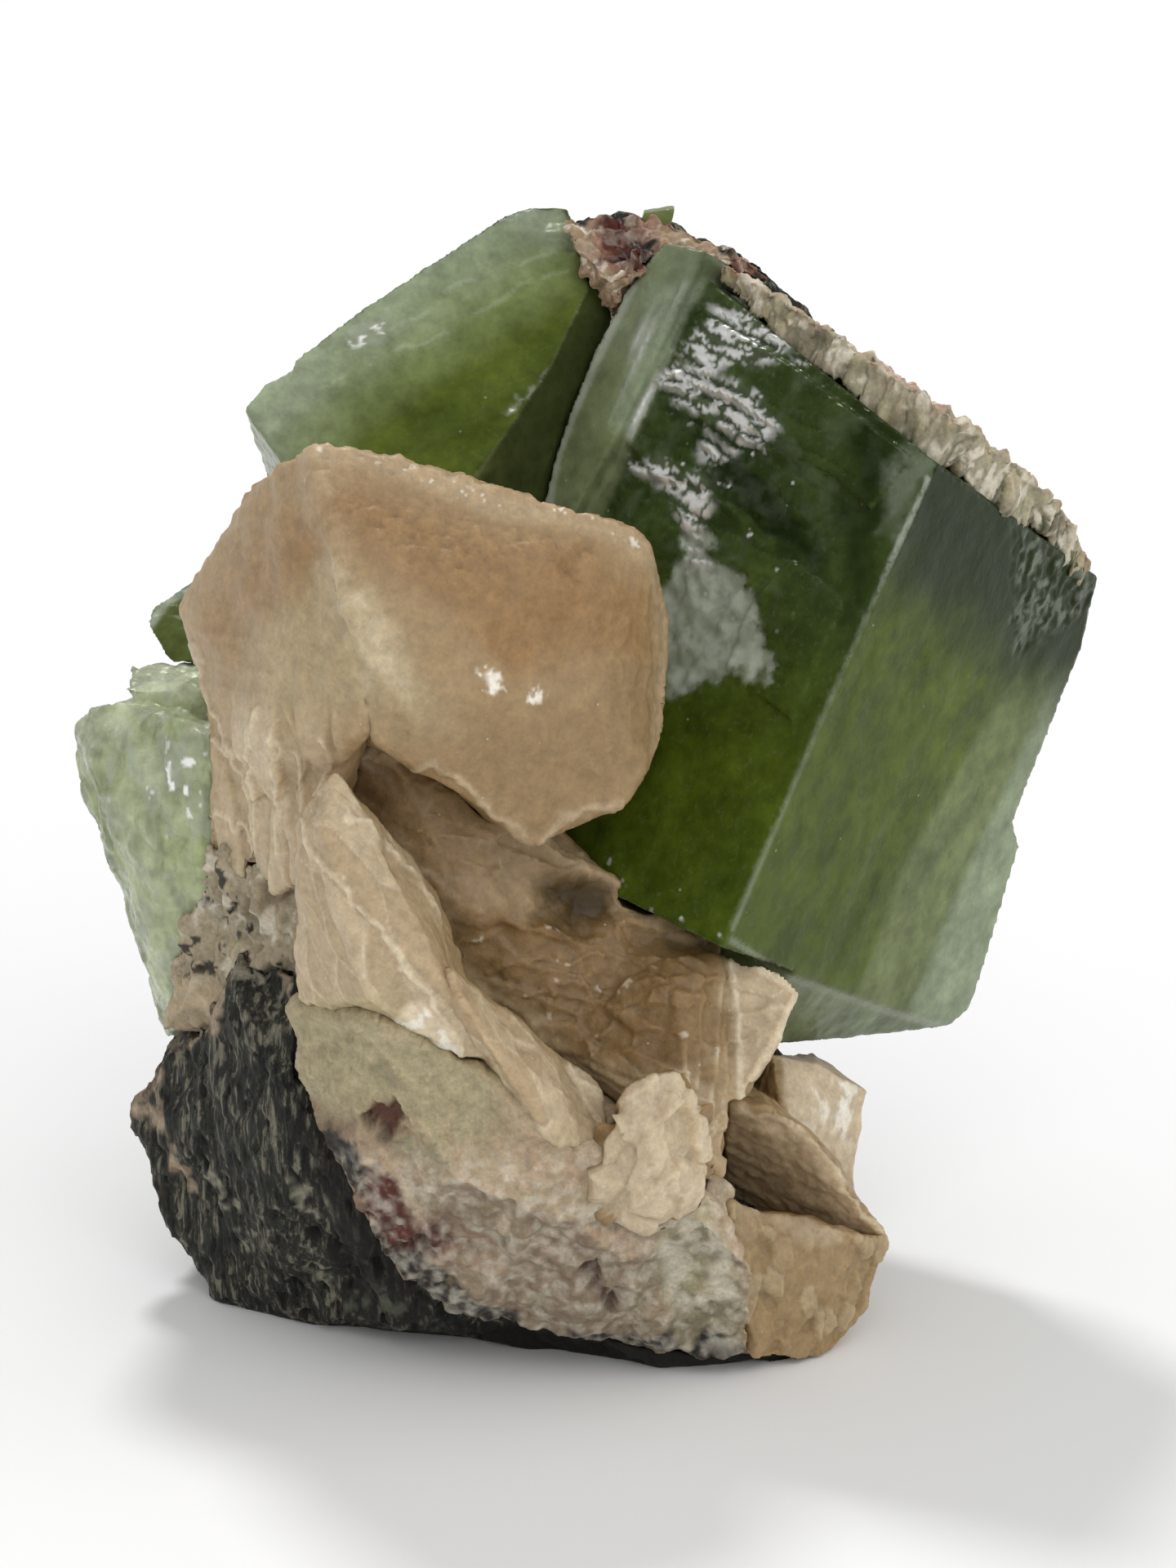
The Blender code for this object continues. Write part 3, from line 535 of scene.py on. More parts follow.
def main_left_face(seen, left, up):
    """Broken ledges at the upper left with painted highlights on them, a frosted patch, and painted shade on the steps
    below them and at the foot of each ledge.
    """
    flat = columns(left, up)
    rise = up - 0.07 * left + noise(flat * 0.16, 3) * 0.9
    phase = rise / 1.15
    saw = phase - np.floor(phase)
    row = columns(left * 0.16, np.floor(phase) * 3.7)
    broken = noise(row, 11) + 0.5 * noise(flat * (0.9, 1.6), 13)
    ragged = wandering(seen, 30, 14, 5)
    zone = insides(ragged, LEDGES, 9)
    rows = step(19, 27, up) * step(2, 9, left)
    ledges = (saw - 0.5) * (0.25 + 0.5 * step(-0.2, 0.5, broken)) * (0.1 + 0.3 * rows + 0.6 * zone)
    hatch = soft_noise(columns(left * 2.6 + up * 0.5, up * 0.5), 17)
    # Painted highlight: near-white rows on the broken ledges, flecks among them and specks along the lower edge; the
    # same mask makes them partly metallic.
    glint = zone * step(-0.3, 0, broken + 0.9 * hatch) * step(0.3, 0.45, saw) * step(1, 0.9, saw)
    flecks = noise(columns(left * 0.9 - up * 0.3, up * 3.2), 47)
    glint = most(glint, zone * (flecks > 0.4))
    around = inside(ragged, ((770, 540), (1000, 520), (960, 760), (820, 740)), 30)
    glint = most(glint, (noise(flat * 1.9, 19) > 1.15) * around)
    foot = stroke(ragged, ((735, 1058), (800, 1105), (886, 1142)), 9)
    glint = most(glint, foot * (noise(flat * 2.6, 23) > 0.75))

    patch = inside(wandering(seen, 22, 16, 31), FROSTED, 7)
    patch_relief = noise(flat * 1.3, 41) * 0.18 - 0.3
    shaded_step = inside(wandering(seen, 30, 8, 35), SHADED_STEP, 5)
    dents = noise(flat * 0.4, 21) * 0.08 + noise(flat * 1.3, 25) * 0.035
    move = ledges + dents + patch * patch_relief - 0.18 * shaded_step
    veins = patches(-0.6, 0.5, flat * 1.1, 37)
    frost = patch * (0.65 + 0.4 * veins) + 0.15 * zone + 0.35 * inside(ragged, HAZY_CORNER, 14)
    frost = frost + 0.08 * patches(0, 0.8, flat * 0.8, 43) * rows
    frost = frost + 0.15 * step(24.5, 27.5, left) * step(24, 30, up)
    # The dark corner is the crystal's own colour; the stroke below the shaded step is a painted shadow line.
    dark = 0.8 * inside(ragged, DARK_CORNER, 26) + 0.6 * stroke(ragged, ((880, 585), (925, 610), (985, 680)), 22)
    olive = step(30, 10, up + 2 * noise(flat * 0.2, 45)) * 0.75
    # Painted shade on the shaded step and in a band at the foot of each ledge.
    dark = dark + 0.5 * shaded_step + (0.35 * rows * step(-0.3, 0.3, broken) + 0.6 * zone) * step(0.36, 0.2, saw)
    return move, dict(frost=frost, glint=glint, dark=dark, olive=olive)


def main_right_face(points, seen, right, up):
    """Growth bands: olive beside the edge, then grey-green, then pale, all darkened under the rind by painted shade.
    """
    column = columns(right, up * 0.08)
    terrace = soft_noise(column * 0.45, 53) * 0.03 + soft_noise(column * 1.7, 55) * 0.004
    chips = inside(wandering(seen, 12, 8, 59), CHIPPED, 12)
    move = terrace + noise(points * 0.5, 57) * 0.03 + chips * noise(points * 1.6, 61) * 0.16
    soft = wandering(columns(right, up), 9, 0.7, 63)
    middle = step(19.5, 21.5, soft[:, 0] - 0.16 * most(soft[:, 1] - 12, 0))
    pale = step(28.5, 30.5, soft[:, 0]) * step(36, 24, up)
    # Painted shade: the face darkens towards the rind that hangs over it.
    under = step(24, 34.5, up + 0.1 * right + 1.5 * noise(points * 0.3, 65))
    frost = 0.35 * chips * patches(0, 0.5, points * 1.5, 67) + 0.2 * step(35.5, 38, right)
    middle = most(middle * (1 - under), 0.7 * step(1, -6, up))
    return move, dict(olive=1 - under, middle=middle, pale=pale * 0.85, dark=under * 0.9, frost=frost)


def main_plate(seen):
    """The thin clear plate with its pale rim, and the bright fibrous strip beside it."""
    across, down = seen.T
    strip = inside(seen, STRIP, 10)
    fibre = soft_noise(columns(across * 0.16 + down * 0.075, down * 0.012), 81)
    frost = strip * step(0, 0.6, fibre) * 0.9 + stroke(seen, PLATE_RIM, 9) * 0.8
    frost += 0.1 + 0.2 * step(470, 400, down)
    # Painted highlight on the bright fibres of the strip.
    glint = strip * step(0.55, 0.8, fibre) * 0.8
    return strip * fibre * 0.15, dict(frost=frost, glint=glint, pale=0.12 + strip * 0.7, middle=0.85)


def main_shape(points, normals, seen, front):
    """The faces of the big crystal, each with its own relief."""
    left, right, up = along_crystal(points)
    on_left = step(0.35, 0.7, -(normals @ RIGHT_EDGE)) * step(1.1, 0.6, np.abs(right + 0.25))
    on_right = step(0.6, 0.8, -(normals @ LEFT_EDGE)) * step(0.6, 0.1, np.abs(left)) * (1 - on_left)
    on_plate = step(25.2, 26.4, left) * front * step(20, 23, up)
    on_left = on_left * (1 - on_plate)
    rest = 1 - most(on_left, on_right, on_plate)
    masks = {name: np.zeros(len(left)) for name in ("olive", "middle", "pale", "dark", "frost", "glint")}
    moves = normals * (rest * noise(points * 0.8, 71) * 0.06)[:, None]
    faces = ((on_left, RIGHT_EDGE, main_left_face(seen, left, up)),
             (on_right, LEFT_EDGE, main_right_face(points, seen, right, up)),
             (on_plate, RIGHT_EDGE, main_plate(seen)))
    for share, inward, (move, found) in faces:
        moves = moves - np.outer(move * share, inward)
        for name, values in found.items():
            masks[name] = masks[name] + values * share
    masks["middle"] += rest * 0.3
    masks["pale"] += rest * step(-0.3, -1.5, up) * 0.45
    masks["olive"] += rest * step(-0.3, -1.5, up) * 0.35
    # Painted shade below the rind on the other faces.
    masks["dark"] += rest * step(33, 36, up) * 0.5
    masks["frost"] += stroke(seen, FRONT_EDGE, 5) * (0.35 + 0.65 * step(760, 640, seen[:, 1])) * front
    masks["frost"] += stroke(seen, LOWER_EDGE, 7) * front * 0.5
    return moves, masks


# The upper left crystal: its folded lip, its broken side in painted shade, its smudge of painted highlights and its
# torn edge.
LIP = ((612, 262), (650, 250), (700, 262), (705, 320), (650, 300))
CUT = ((500, 575), (560, 520), (690, 430), (735, 340), (760, 380), (640, 640))
SHADED_SIDE = ((575, 590), (640, 520), (690, 470), (740, 350), (790, 350), (700, 640), (570, 640))
SMUDGE = ((440, 388), (475, 384), (470, 412), (438, 424), (420, 405))
TORN_EDGE = ((618, 505), (660, 470), (700, 430), (722, 360))
TABLET_LINES = (((400, 440), (490, 400), (560, 350), (700, 300)), ((450, 445), (560, 400), (640, 350), (700, 330)),
    ((330, 500), (400, 470), (440, 455)))


def tablet_shape(points, normals, seen, front):
    """A pale band along the upper left edge, an olive core and a broken lower right edge; painted shade on the broken
    side and painted highlights on the smudge and the torn edge.
    """
    outward = np.array((0, -math.cos(TABLET_LEAN), math.sin(TABLET_LEAN)))
    face = step(0.85, 0.97, normals @ outward)
    loose = wandering(seen, 60, 12, 3)
    # Distance from the upper left outline, in pixels.
    edge_way = (loose[:, 0] - 370) * 0.585 + (loose[:, 1] - 435) * 0.811
    bands = soft_noise(columns(edge_way * 0.045, seen[:, 0] * 0.003), 5) * 0.1
    dents = noise(points * 0.5, 9) * 0.05 + noise(points * 1.6, 13) * 0.02
    lip = inside(loose, LIP, 10)
    cut = inside(wandering(seen, 20, 8, 15), CUT, 4)
    relief = bands + dents + lip * noise(points * 0.9, 17) * 0.35 - 0.22 * cut
    relief = relief * face + (1 - face) * noise(points * 0.7, 25) * 0.08
    lines = strokes(wandering(seen, 26, 5, 27), TABLET_LINES, 4) * (noise(points * 0.5, 29) > -0.2)
    pale = step(105, 15, edge_way) * 0.85 + 0.55 * step(440, 330, loose[:, 0]) + 0.35 * lines
    middle = step(150, 95, edge_way) * 0.8 + 0.6 * step(450, 350, loose[:, 0])
    smudge = inside(wandering(seen, 14, 10, 19), SMUDGE, 9)
    torn = stroke(wandering(seen, 10, 7, 21), TORN_EDGE, 6)
    # Painted highlight on the smudge and along the torn edge.
    glint = 0.9 * (smudge + torn) * (noise(points * 2, 23) > 0.45)
    sides = (1 - face) * front
    # Painted shade on the broken side and on the side faces at the right.
    dark = inside(loose, SHADED_SIDE, 14) * 0.75 * (face + sides)
    dark = most(dark, sides * step(560, 620, seen[:, 0]) * 0.8)
    return relief, dict(
        olive=face * 0.85, middle=face * middle + (1 - sides) * (1 - face) * 0.6,
        pale=face * pale + sides * step(390, 360, seen[:, 0]) * 0.9, dark=dark,
        frost=(0.6 * smudge + 0.5 * torn + 0.35 * lip) * face, glint=glint * face)


YELLOW = ((140, 868), (190, 850), (245, 870), (235, 915), (160, 905))
LEFT_RIM = ((98, 930), (112, 880), (135, 1010), (200, 1250), (185, 1260))
GLINTING_PATCH = ((150, 915), (250, 905), (255, 980), (230, 1010), (165, 980))


def lower_left_shape(points, normals, seen, front):
    """A rough surface of small broken steps, with painted highlights scattered over it and gathered on one patch."""
    _, gap, number = scattered(points * (0.4, 0.4, 0.28), 7)
    facets = (number - 0.5) * 0.5 * step(0.02, 0.16, gap)
    rough = noise(points * 0.35, 11) * 0.3 + noise(points * (1.2, 1.2, 0.6), 15) * 0.12
    loose = wandering(seen, 30, 16, 17)
    yellow = inside(loose, YELLOW, 16)
    rim = inside(loose, LEFT_RIM, 8)
    glinting_patch = inside(loose, GLINTING_PATCH, 14)
    # Painted highlight: near-white specks, denser and brighter on the glinting patch.
    glint = (noise(points * (1.8, 1.8, 1), 19) > 1 - 0.5 * glinting_patch) * (0.4 + 0.6 * glinting_patch)
    pale = 0.6 + 0.5 * noise(points * 0.25, 23) - 0.5 * yellow - 0.2 * rim
    frost = 0.55 * patches(0.1, 0.6, points * (0.9, 0.9, 0.5), 21) + 0.3 * glinting_patch
    olive = 0.4 * yellow * front + 0.35 * patches(0.2, 0.8, points * (0.6, 0.6, 0.25), 27)
    dark = 0.15 * rim + 0.3 * patches(0.3, 0.9, points * (0.8, 0.8, 0.3), 25)
    return facets + rough - 0.05, dict(
        olive=olive, middle=0.6 + 0.3 * rim, dark=dark, pale=pale, frost=frost, glint=glint)


def small_shape(points, normals, seen, front):
    """Small crystals with nearly plain faces."""
    rim = stroke(seen, ((183, 765), (205, 735), (232, 722)), 9)
    return noise(points * 1.1, 3) * 0.06, dict(olive=0.6, middle=0.3, pale=rim, frost=0.5 * rim)


# The crown: its browner band in painted shade, greyer middle, pale ridge line and rims, blades at the left and white
# specks.
CROWN_BAND = ((250, 770), (300, 680), (350, 620), (390, 640), (430, 600), (560, 640), (700, 670), (800, 710),
    (815, 800), (740, 810), (640, 830), (540, 740), (470, 690), (420, 650), (385, 700), (340, 770), (280, 810))
CROWN_GREY = ((390, 680), (430, 720), (500, 800), (560, 900), (430, 880), (330, 860), (300, 770), (360, 740))
CROWN_STREAK = ((384, 560), (392, 600), (402, 650), (398, 690), (425, 725), (452, 770), (500, 850), (530, 900))
CROWN_RIM = ((372, 546), (440, 556), (510, 580), (620, 622), (690, 630), (760, 652), (800, 690), (818, 760),
    (820, 860), (812, 912))
NOTCH_RIM = ((455, 915), (468, 936), (500, 940), (530, 932), (560, 950), (600, 992), (655, 1032), (700, 990),
    (752, 985))
BLADE_LINES = (((262, 905), (300, 955), (312, 1040)), ((322, 870), (308, 960), (318, 1035)),
    ((345, 900), (342, 1010)), ((262, 985), (285, 985), (312, 1035)), ((240, 790), (255, 850), (285, 930)),
    ((395, 905), (410, 930), (378, 1000)), ((365, 925), (372, 985)))
CROWN_VEIL = ((395, 670), (430, 700), (485, 790), (500, 860), (455, 830), (425, 780), (400, 730))
CROWN_DENT = ((590, 800), (640, 745), (690, 690), (715, 690), (690, 760), (640, 815))
CROWN_SHADED_LOW = ((480, 860), (640, 880), (800, 800), (812, 900), (740, 990), (655, 1030), (560, 950), (480, 930))
CROWN_SPECKS = (((585, 822), (605, 820), (618, 842), (600, 846)), ((648, 850), (662, 846), (664, 862), (652, 862)))
SHADED_NOTCH = ((430, 900), (470, 930), (450, 1000), (420, 1000))


def crown_shape(points, normals, seen, front):
    """Waxy faces with shallow dents, a pale ridge line, fine steps at the right and thin blades at the left."""
    across, down = seen.T
    loose = wandering(seen, 45, 14, 3)
    sharp = wandering(seen, 18, 5, 7)
    relief = noise(points * 0.16, 9) * 0.32 + noise(points * 0.6, 13) * 0.07
    relief += noise(points * 1.8, 17) * 0.03
    relief += noise(points * 1.4, 23) * 0.2 * step(0.3, 0.75, normals[:, 2])
    fibre = soft_noise(columns(across * 0.004, (down - 0.22 * across) * 0.11), 19)
    edge = sharp[:, 0] + 0.02 * (down - 800)
    below = step(680, 730, down)
    steps = -0.16 * below * (step(792, 796, edge) + step(804, 808, edge))
    lower = step(830, 900, down) * step(440, 380, across)
    _, gap, number = scattered(points * (0.34, 0.34, 0.11), 21)
    blades = (number - 0.5) * step(0.01, 0.09, gap) * lower
    rims = stroke(sharp, NOTCH_RIM, 7)
    lines = strokes(sharp, BLADE_LINES, 5)
    ridge = stroke(loose, CROWN_STREAK, 30)
    dent = inside(loose, CROWN_DENT, 18)
    relief += (0.05 * fibre + 0.22 * ridge + steps + blades + 0.25 * lines + 0.2 * rims - 0.35 * dent) * front + 0.15
    tips = step(955, 1005, down) * lower * number * 2.4
    band = inside(loose, CROWN_BAND, 40) * front
    grey = inside(loose, CROWN_GREY, 40)
    specks = insides(wandering(seen, 6, 6, 25), CROWN_SPECKS, 3)
    # Painted highlight: white sparkles near the top of the ridge line and along the top rim.
    near_rim = most(stroke(sharp, CROWN_STREAK[:2], 16), stroke(sharp, CROWN_RIM[:7], 9) * 0.8)
    sparkle = (noise(points * 2.4, 27) > 0.78) * near_rim
    veil = inside(wandering(seen, 26, 12, 29), CROWN_VEIL, 14) * patches(-0.5, 0.4, points * 0.6, 31)
    # The stroke along the top rim and the share at the left side are painted light.
    light = 0.2 * ridge + 0.4 * veil + 0.15 * grey + stroke(seen, CROWN_RIM, 26) * 0.25 + 0.5 * lines + 0.5 * rims
    light = light + lower * (0.2 + 0.35 * step(0.45, 0.8, number)) + 0.15 * step(380, 330, across)
    low = inside(loose, CROWN_SHADED_LOW, 40)
    # In the masks below, shade is painted shade on the band, in the dent and on faces turned from the front, and
    # hollow adds painted shade in the notch and on the lower crown.
    return normals * relief[:, None] - np.outer(tips, (0, 0, 1)), dict(
        shade=band * 0.85 + 0.45 * dent + 0.25 * step(0.2, -0.3, normals @ TOWARD), light=light * front,
        green=0.2 * grey * front, hollow=0.3 * inside(loose, SHADED_NOTCH, 16) + 0.42 * low * front + 0.1 * band,
        white=most(specks, sparkle) * front)


RIDGE_EDGES = (((372, 1010), (400, 1060), (440, 1110), (500, 1180), (560, 1270), (600, 1330)),
    ((420, 1000), (470, 1030), (500, 1060), (540, 1130)), ((640, 1235), (680, 1290), (730, 1345)),
    ((540, 1110), (556, 1160), (600, 1200), (640, 1240)))
FLAKE = ((498, 1228), (520, 1230), (548, 1262), (576, 1304), (530, 1300), (470, 1276), (486, 1245))


def ridge_shape(points, normals, seen, front):
    """Two blades with thin layered edges and glassy flakes, painted highlights on a flake and a band of painted shade.
    """
    sharp = wandering(seen, 22, 7, 3)
    turned = columns(points @ (0.055, 0, -0.083), points @ (0.415, 0, 0.275), points[:, 1] * 0.4)
    _, gap, number = scattered(turned, 5)
    layers = (number - 0.5) * 0.4 * step(0.01, 0.1, gap)
    rough = noise(points * 0.3, 9) * 0.25 + noise(points * 1.2, 13) * 0.07 + 0.2
    edges = strokes(sharp, RIDGE_EDGES, 6)
    flake = inside(sharp, FLAKE, 5)
    light = 0.5 * edges + 0.8 * flake + 0.25 * step(0.5, 0.9, number) + 0.32 + 0.35 * step(0.06, 0.01, gap)
    # Painted shade in a band on the lower blade.
    shade = 0.45 * stroke(sharp, ((600, 1215), (640, 1290), (690, 1350)), 14)
    green = 0.35 * step(1180, 1260, seen[:, 1]) * step(520, 440, seen[:, 0])
    # The white on the flake is painted highlight, and shade is painted shade.
    return layers + rough + 0.22 * edges * front, dict(
        light=light * front, shade=shade * front, green=green,
        white=0.8 * flake * (noise(points * 0.9, 17) > 0.1) * front)


# The hollow in the middle: its shaded wall, the layered plates below it, the clear sheet and the fin.
CAVITY = ((430, 920), (470, 935), (540, 940), (600, 995), (690, 1060), (745, 1100), (740, 1140), (600, 1140),
    (545, 1110), (500, 1040), (430, 985))
PALE_WALL = ((600, 1000), (660, 1050), (650, 1120), (560, 1100), (560, 1020))
SHADED_WALL = ((425, 925), (470, 935), (480, 1000), (430, 990))
HOLE = ((650, 1085), (700, 1064), (748, 1100), (754, 1138), (700, 1134), (660, 1110))
PLATES = ((530, 1140), (640, 1130), (760, 1120), (885, 1150), (888, 1360), (850, 1300), (760, 1310), (700, 1290),
    (600, 1210), (550, 1170))
PLATE_LINES = (((560, 1150), (650, 1135), (735, 1150)), ((600, 1190), (700, 1175), (780, 1170), (860, 1185)),
    ((640, 1215), (700, 1200), (760, 1215)), ((660, 1240), (676, 1222), (676, 1205)),
    ((745, 1120), (760, 1160), (800, 1190)), ((700, 1240), (790, 1205), (870, 1200)),
    ((720, 1290), (760, 1240), (850, 1215)))
SHEET_LINES = (((882, 1210), (878, 1270), (868, 1360)), ((835, 1265), (842, 1330)), ((856, 1215), (853, 1330)))
FIN = ((893, 1172), (975, 1215), (905, 1345))
FIN_LINES = (((975, 1215), (948, 1270), (905, 1345)), ((893, 1172), (930, 1190), (975, 1215)),
    ((893, 1172), (903, 1240), (905, 1340)))


def bowl_shape(points, normals, seen, front):
    """A shaded cavity, thin layered plates below it, the fin with its bright edge and the cream lump."""
    sharp = wandering(seen, 24, 8, 3)
    loose = wandering(seen, 50, 14, 5)
    lump = step(-21.5, -23.5, points[:, 1]) * step(720, 745, seen[:, 0])
    turned = columns(points[:, 0] * 0.17, points[:, 1] * 0.4, points @ (0.15, 0, 0.55))
    _, gap, number = scattered(turned, 9)
    relief = (number - 0.5) * 0.65 * step(0.01, 0.1, gap) * (1 - lump)
    relief += noise(points * 0.25, 13) * 0.35 + noise(points * 1.1, 17) * 0.07
    _, lump_gap, lump_number = scattered(points @ ((0.42, 0, 0.12), (0, 0.4, 0), (-0.2, 0, 0.26)), 29)
    clods = (lump_number - 0.4) * 2.4 * step(0, 0.1, lump_gap) + noise(points * 0.5, 19) * 0.15
    relief += clods * lump + 0.2
    lines = strokes(sharp, PLATE_LINES, 5)
    sheet = strokes(seen, SHEET_LINES, 5)
    fin = strokes(seen, FIN_LINES, 6)
    hole = inside(loose, HOLE, 20)
    relief += (0.22 * lines + 0.2 * sheet + 0.2 * fin - 1.1 * hole) * front
    plates = inside(loose, PLATES, 18) * (1 - lump)
    wall_shade = inside(loose, SHADED_WALL, 16)
    on_fin = inside(seen, FIN, 8)
    broken = step(0.07, 0.01, gap) * patches(-0.2, 0.3, points * 0.5, 31) * (1 - lump)
    light = 0.6 * lump + 0.45 * lines + 0.6 * sheet + 0.8 * fin + 0.35 * on_fin + 0.2 + 0.5 * broken
    # Painted shade in the cavity and over the plates below the crown, less on the pale part of the wall.
    hollow = 0.72 * inside(loose, CAVITY, 18) * (1 - lump) + 0.92 * plates
    hollow = hollow * (1 - 0.75 * on_fin) - 0.35 * inside(loose, PALE_WALL, 18)
    white = 0.35 * (most(lines, sheet) > 0.7) * (noise(points * 1.3, 23) > 0.6)
    # Painted shade: shade and hollow on faces turned from the front and shade in the notch by the wall; deep darkens
    # the hole and the notch.
    return relief, dict(
        light=light * front, shade=0.6 * wall_shade + 0.3 * (1 - front), green=0.25 * plates * front,
        hollow=hollow * front + 0.3 * (1 - front), deep=(hole + 0.25 * wall_shade) * front,
        white=white * front)


# The lower right: the blade with its painted light and glare, and the wedge's brown face in painted shade.
BLADE = ((955, 1290), (1062, 1312), (1058, 1470), (1020, 1410), (966, 1368))
GLARE = ((990, 1330), (1050, 1310), (1058, 1370), (1040, 1400), (1005, 1370))
WEDGE_FACE = ((886, 1354), (966, 1373), (1014, 1415), (1051, 1476), (1078, 1507), (990, 1525), (941, 1495),
    (886, 1470))
WEDGE_DARK = ((886, 1370), (930, 1380), (960, 1470), (930, 1495), (886, 1465))


def right_shape(points, normals, seen, front):
    """A flat blade with painted light and glare, a brown hollow wedge in painted shade with fine fibres, and a pale
    granular block.
    """
    across, down = seen.T
    loose = wandering(seen, 26, 9, 3)
    blade = inside(seen, BLADE, 5)
    wedge = inside(loose, WEDGE_FACE, 10)
    block = front * (1 - blade) * (1 - wedge)
    fibre = soft_noise(columns(seen @ (0.08, -0.128), seen @ (0.008, 0.008)), 5)
    _, gap, number = scattered(points * (0.7, 0.7, 0.45), 7)
    lumps = (number - 0.5) * 0.7 * step(0.02, 0.15, gap)
    rough = noise(points * 0.4, 9) * 0.22 + noise(points * 1.4, 13) * 0.1 + 0.1
    leaf = soft_noise(columns(seen @ (0.03, 0.0105), down * 0.05), 15)
    relief = rough * (1 - 0.75 * blade) + lumps * block + 0.1 * fibre * wedge + 0.12 * leaf * blade
    edge = stroke(loose, WEDGE_FACE[:5], 8)
    # On the blade, light is painted light.
    light = 0.55 * edge + 0.75 * blade + 0.35 * block * step(0.5, 0.9, number) + 0.55 * wedge
    # Painted shade on the wedge's brown face.
    hollow = 0.38 * wedge * (1 - 0.6 * edge) * step(1060, 980, across - 0.3 * (down - 1480))
    crinkle = patches(-0.35, 0.25, points * (1.3, 1.3, 0.8), 17)
    # Painted highlight: the glare and crinkled flecks on the blade.
    white = 0.9 * inside(loose, GLARE, 14) * crinkle + 0.5 * blade * (leaf > 0.35) * step(1330, 1420, down)
    # shade on faces turned from the front and deep in the wedge's darkest corner are painted shade.
    return relief, dict(
        light=light * front, shade=0.35 * (1 - front) + 0.3 * block, green=0.15 * block,
        deep=0.06 * inside(loose, WEDGE_DARK, 20) * front, hollow=hollow + 0.25 * block, white=white * front)


# The druse: smooth greenish top, pale green block, stained places and pits.
SMOOTH_TOP = ((345, 1190), (600, 1250), (560, 1360), (430, 1390), (350, 1380))
GREEN_TOP = ((350, 1215), (440, 1230), (600, 1310), (620, 1400), (520, 1420), (440, 1380), (350, 1350))
GREEN_LOW = ((760, 1530), (850, 1540), (840, 1640), (770, 1620))
PALE_BLOCK = ((800, 1500), (868, 1462), (920, 1600), (915, 1660), (830, 1650))
PITS = (((455, 1365), (470, 1352), (488, 1375), (480, 1400), (462, 1398)),
    ((500, 1518), (525, 1510), (538, 1535), (515, 1545)), ((715, 1560), (735, 1555), (738, 1598), (720, 1600)))
RUST = ((430, 1440), (470, 1425), (505, 1490), (560, 1515), (545, 1548), (500, 1550), (455, 1505))
RUST_HIGH = ((360, 1350), (440, 1370), (430, 1400), (366, 1392))
BLACK_SPOT = ((372, 1392), (402, 1378), (440, 1410), (446, 1460), (420, 1475), (392, 1440))
BLACK_FOOT = ((455, 1510), (500, 1540), (640, 1620), (500, 1640), (440, 1560))


def druse_shape(points, normals, seen, front):
    """Greenish cream above, pink and white grains in the middle, rust-red and black stains at the left, and black
    painted shade along the foot and on faces turned down.
    """
    across, down = seen.T
    loose = wandering(seen, 30, 18, 3)
    flat = seen * 0.02
    block = inside(wandering(seen, 24, 6, 5), PALE_BLOCK, 10)
    smooth = (1 - 0.45 * inside(loose, SMOOTH_TOP, 24)) * (1 - 0.75 * block)
    near, _, number = scattered(points * 0.62, 7)
    relief = step(0.9, 0.15, near) * 0.55 * number * smooth
    relief += noise(points * 0.3, 25) * 0.4 + noise(points * 1.3, 27) * 0.18 - 0.2
    pits = insides(loose, PITS, 8)
    # The crust grows up to the ridge above it.
    relief += 0.9 * stroke(seen, ((361, 1234), (498, 1257), (582, 1295), (635, 1363), (703, 1401), (730, 1420)), 26)
    fuzz = step(1215, 1185, down) * step(-19, -20.5, points[:, 0])
    shards = soft_noise(points * (1.1, 1.1, 0.35), 47) * 0.7 + noise(points * 1.5, 49) * 0.3
    relief += fuzz * shards - 1.1 * pits * front - 0.25 * block
    green = 0.6 * inside(loose, GREEN_TOP, 26) + 0.5 * block + 0.45 * inside(loose, GREEN_LOW, 18)
    red = (0.9 * pits + 1.2 * inside(loose, RUST, 16)) * patches(-1.2, -0.3, flat * 1.2, 31)
    red = red + 0.45 * inside(loose, RUST_HIGH, 10)
    # Painted shade: black along the bottom edge, where the foot curves away.
    foot = step(1612, 1640, loose[:, 1] + (620 - across) * 0.1)
    black = most(inside(wandering(seen, 12, 8, 33), BLACK_SPOT, 9), foot, inside(loose, BLACK_FOOT, 10) * 0.9,
                 fuzz * (noise(points * 0.9, 41) > 0.55) * 0.9)
    pink = 0.35 * patches(-0.8, 0.8, points * 0.8, 35) * step(1330, 1400, down) * (1 - block)
    pink = pink + 0.35 * stroke(loose, ((480, 1500), (600, 1530), (740, 1500)), 26)
    white = most(0.5 * patches(-0.6, 1.2, points * 1.6, 37) * step(1380, 1440, down),
                 0.55 * block * patches(-0.2, 0.4, points * 0.5, 39),
                 fuzz * patches(0.1, 0.6, points * 0.8, 43) * 0.6)
    # Faces turned down get black painted shade as well.
    return relief, dict(
        green=green * front, pink=pink, red=red * front, grey=0.45 * fuzz + 0.05,
        black=black * front + step(0, -0.5, normals[:, 2]) * 0.5, white=white * front)


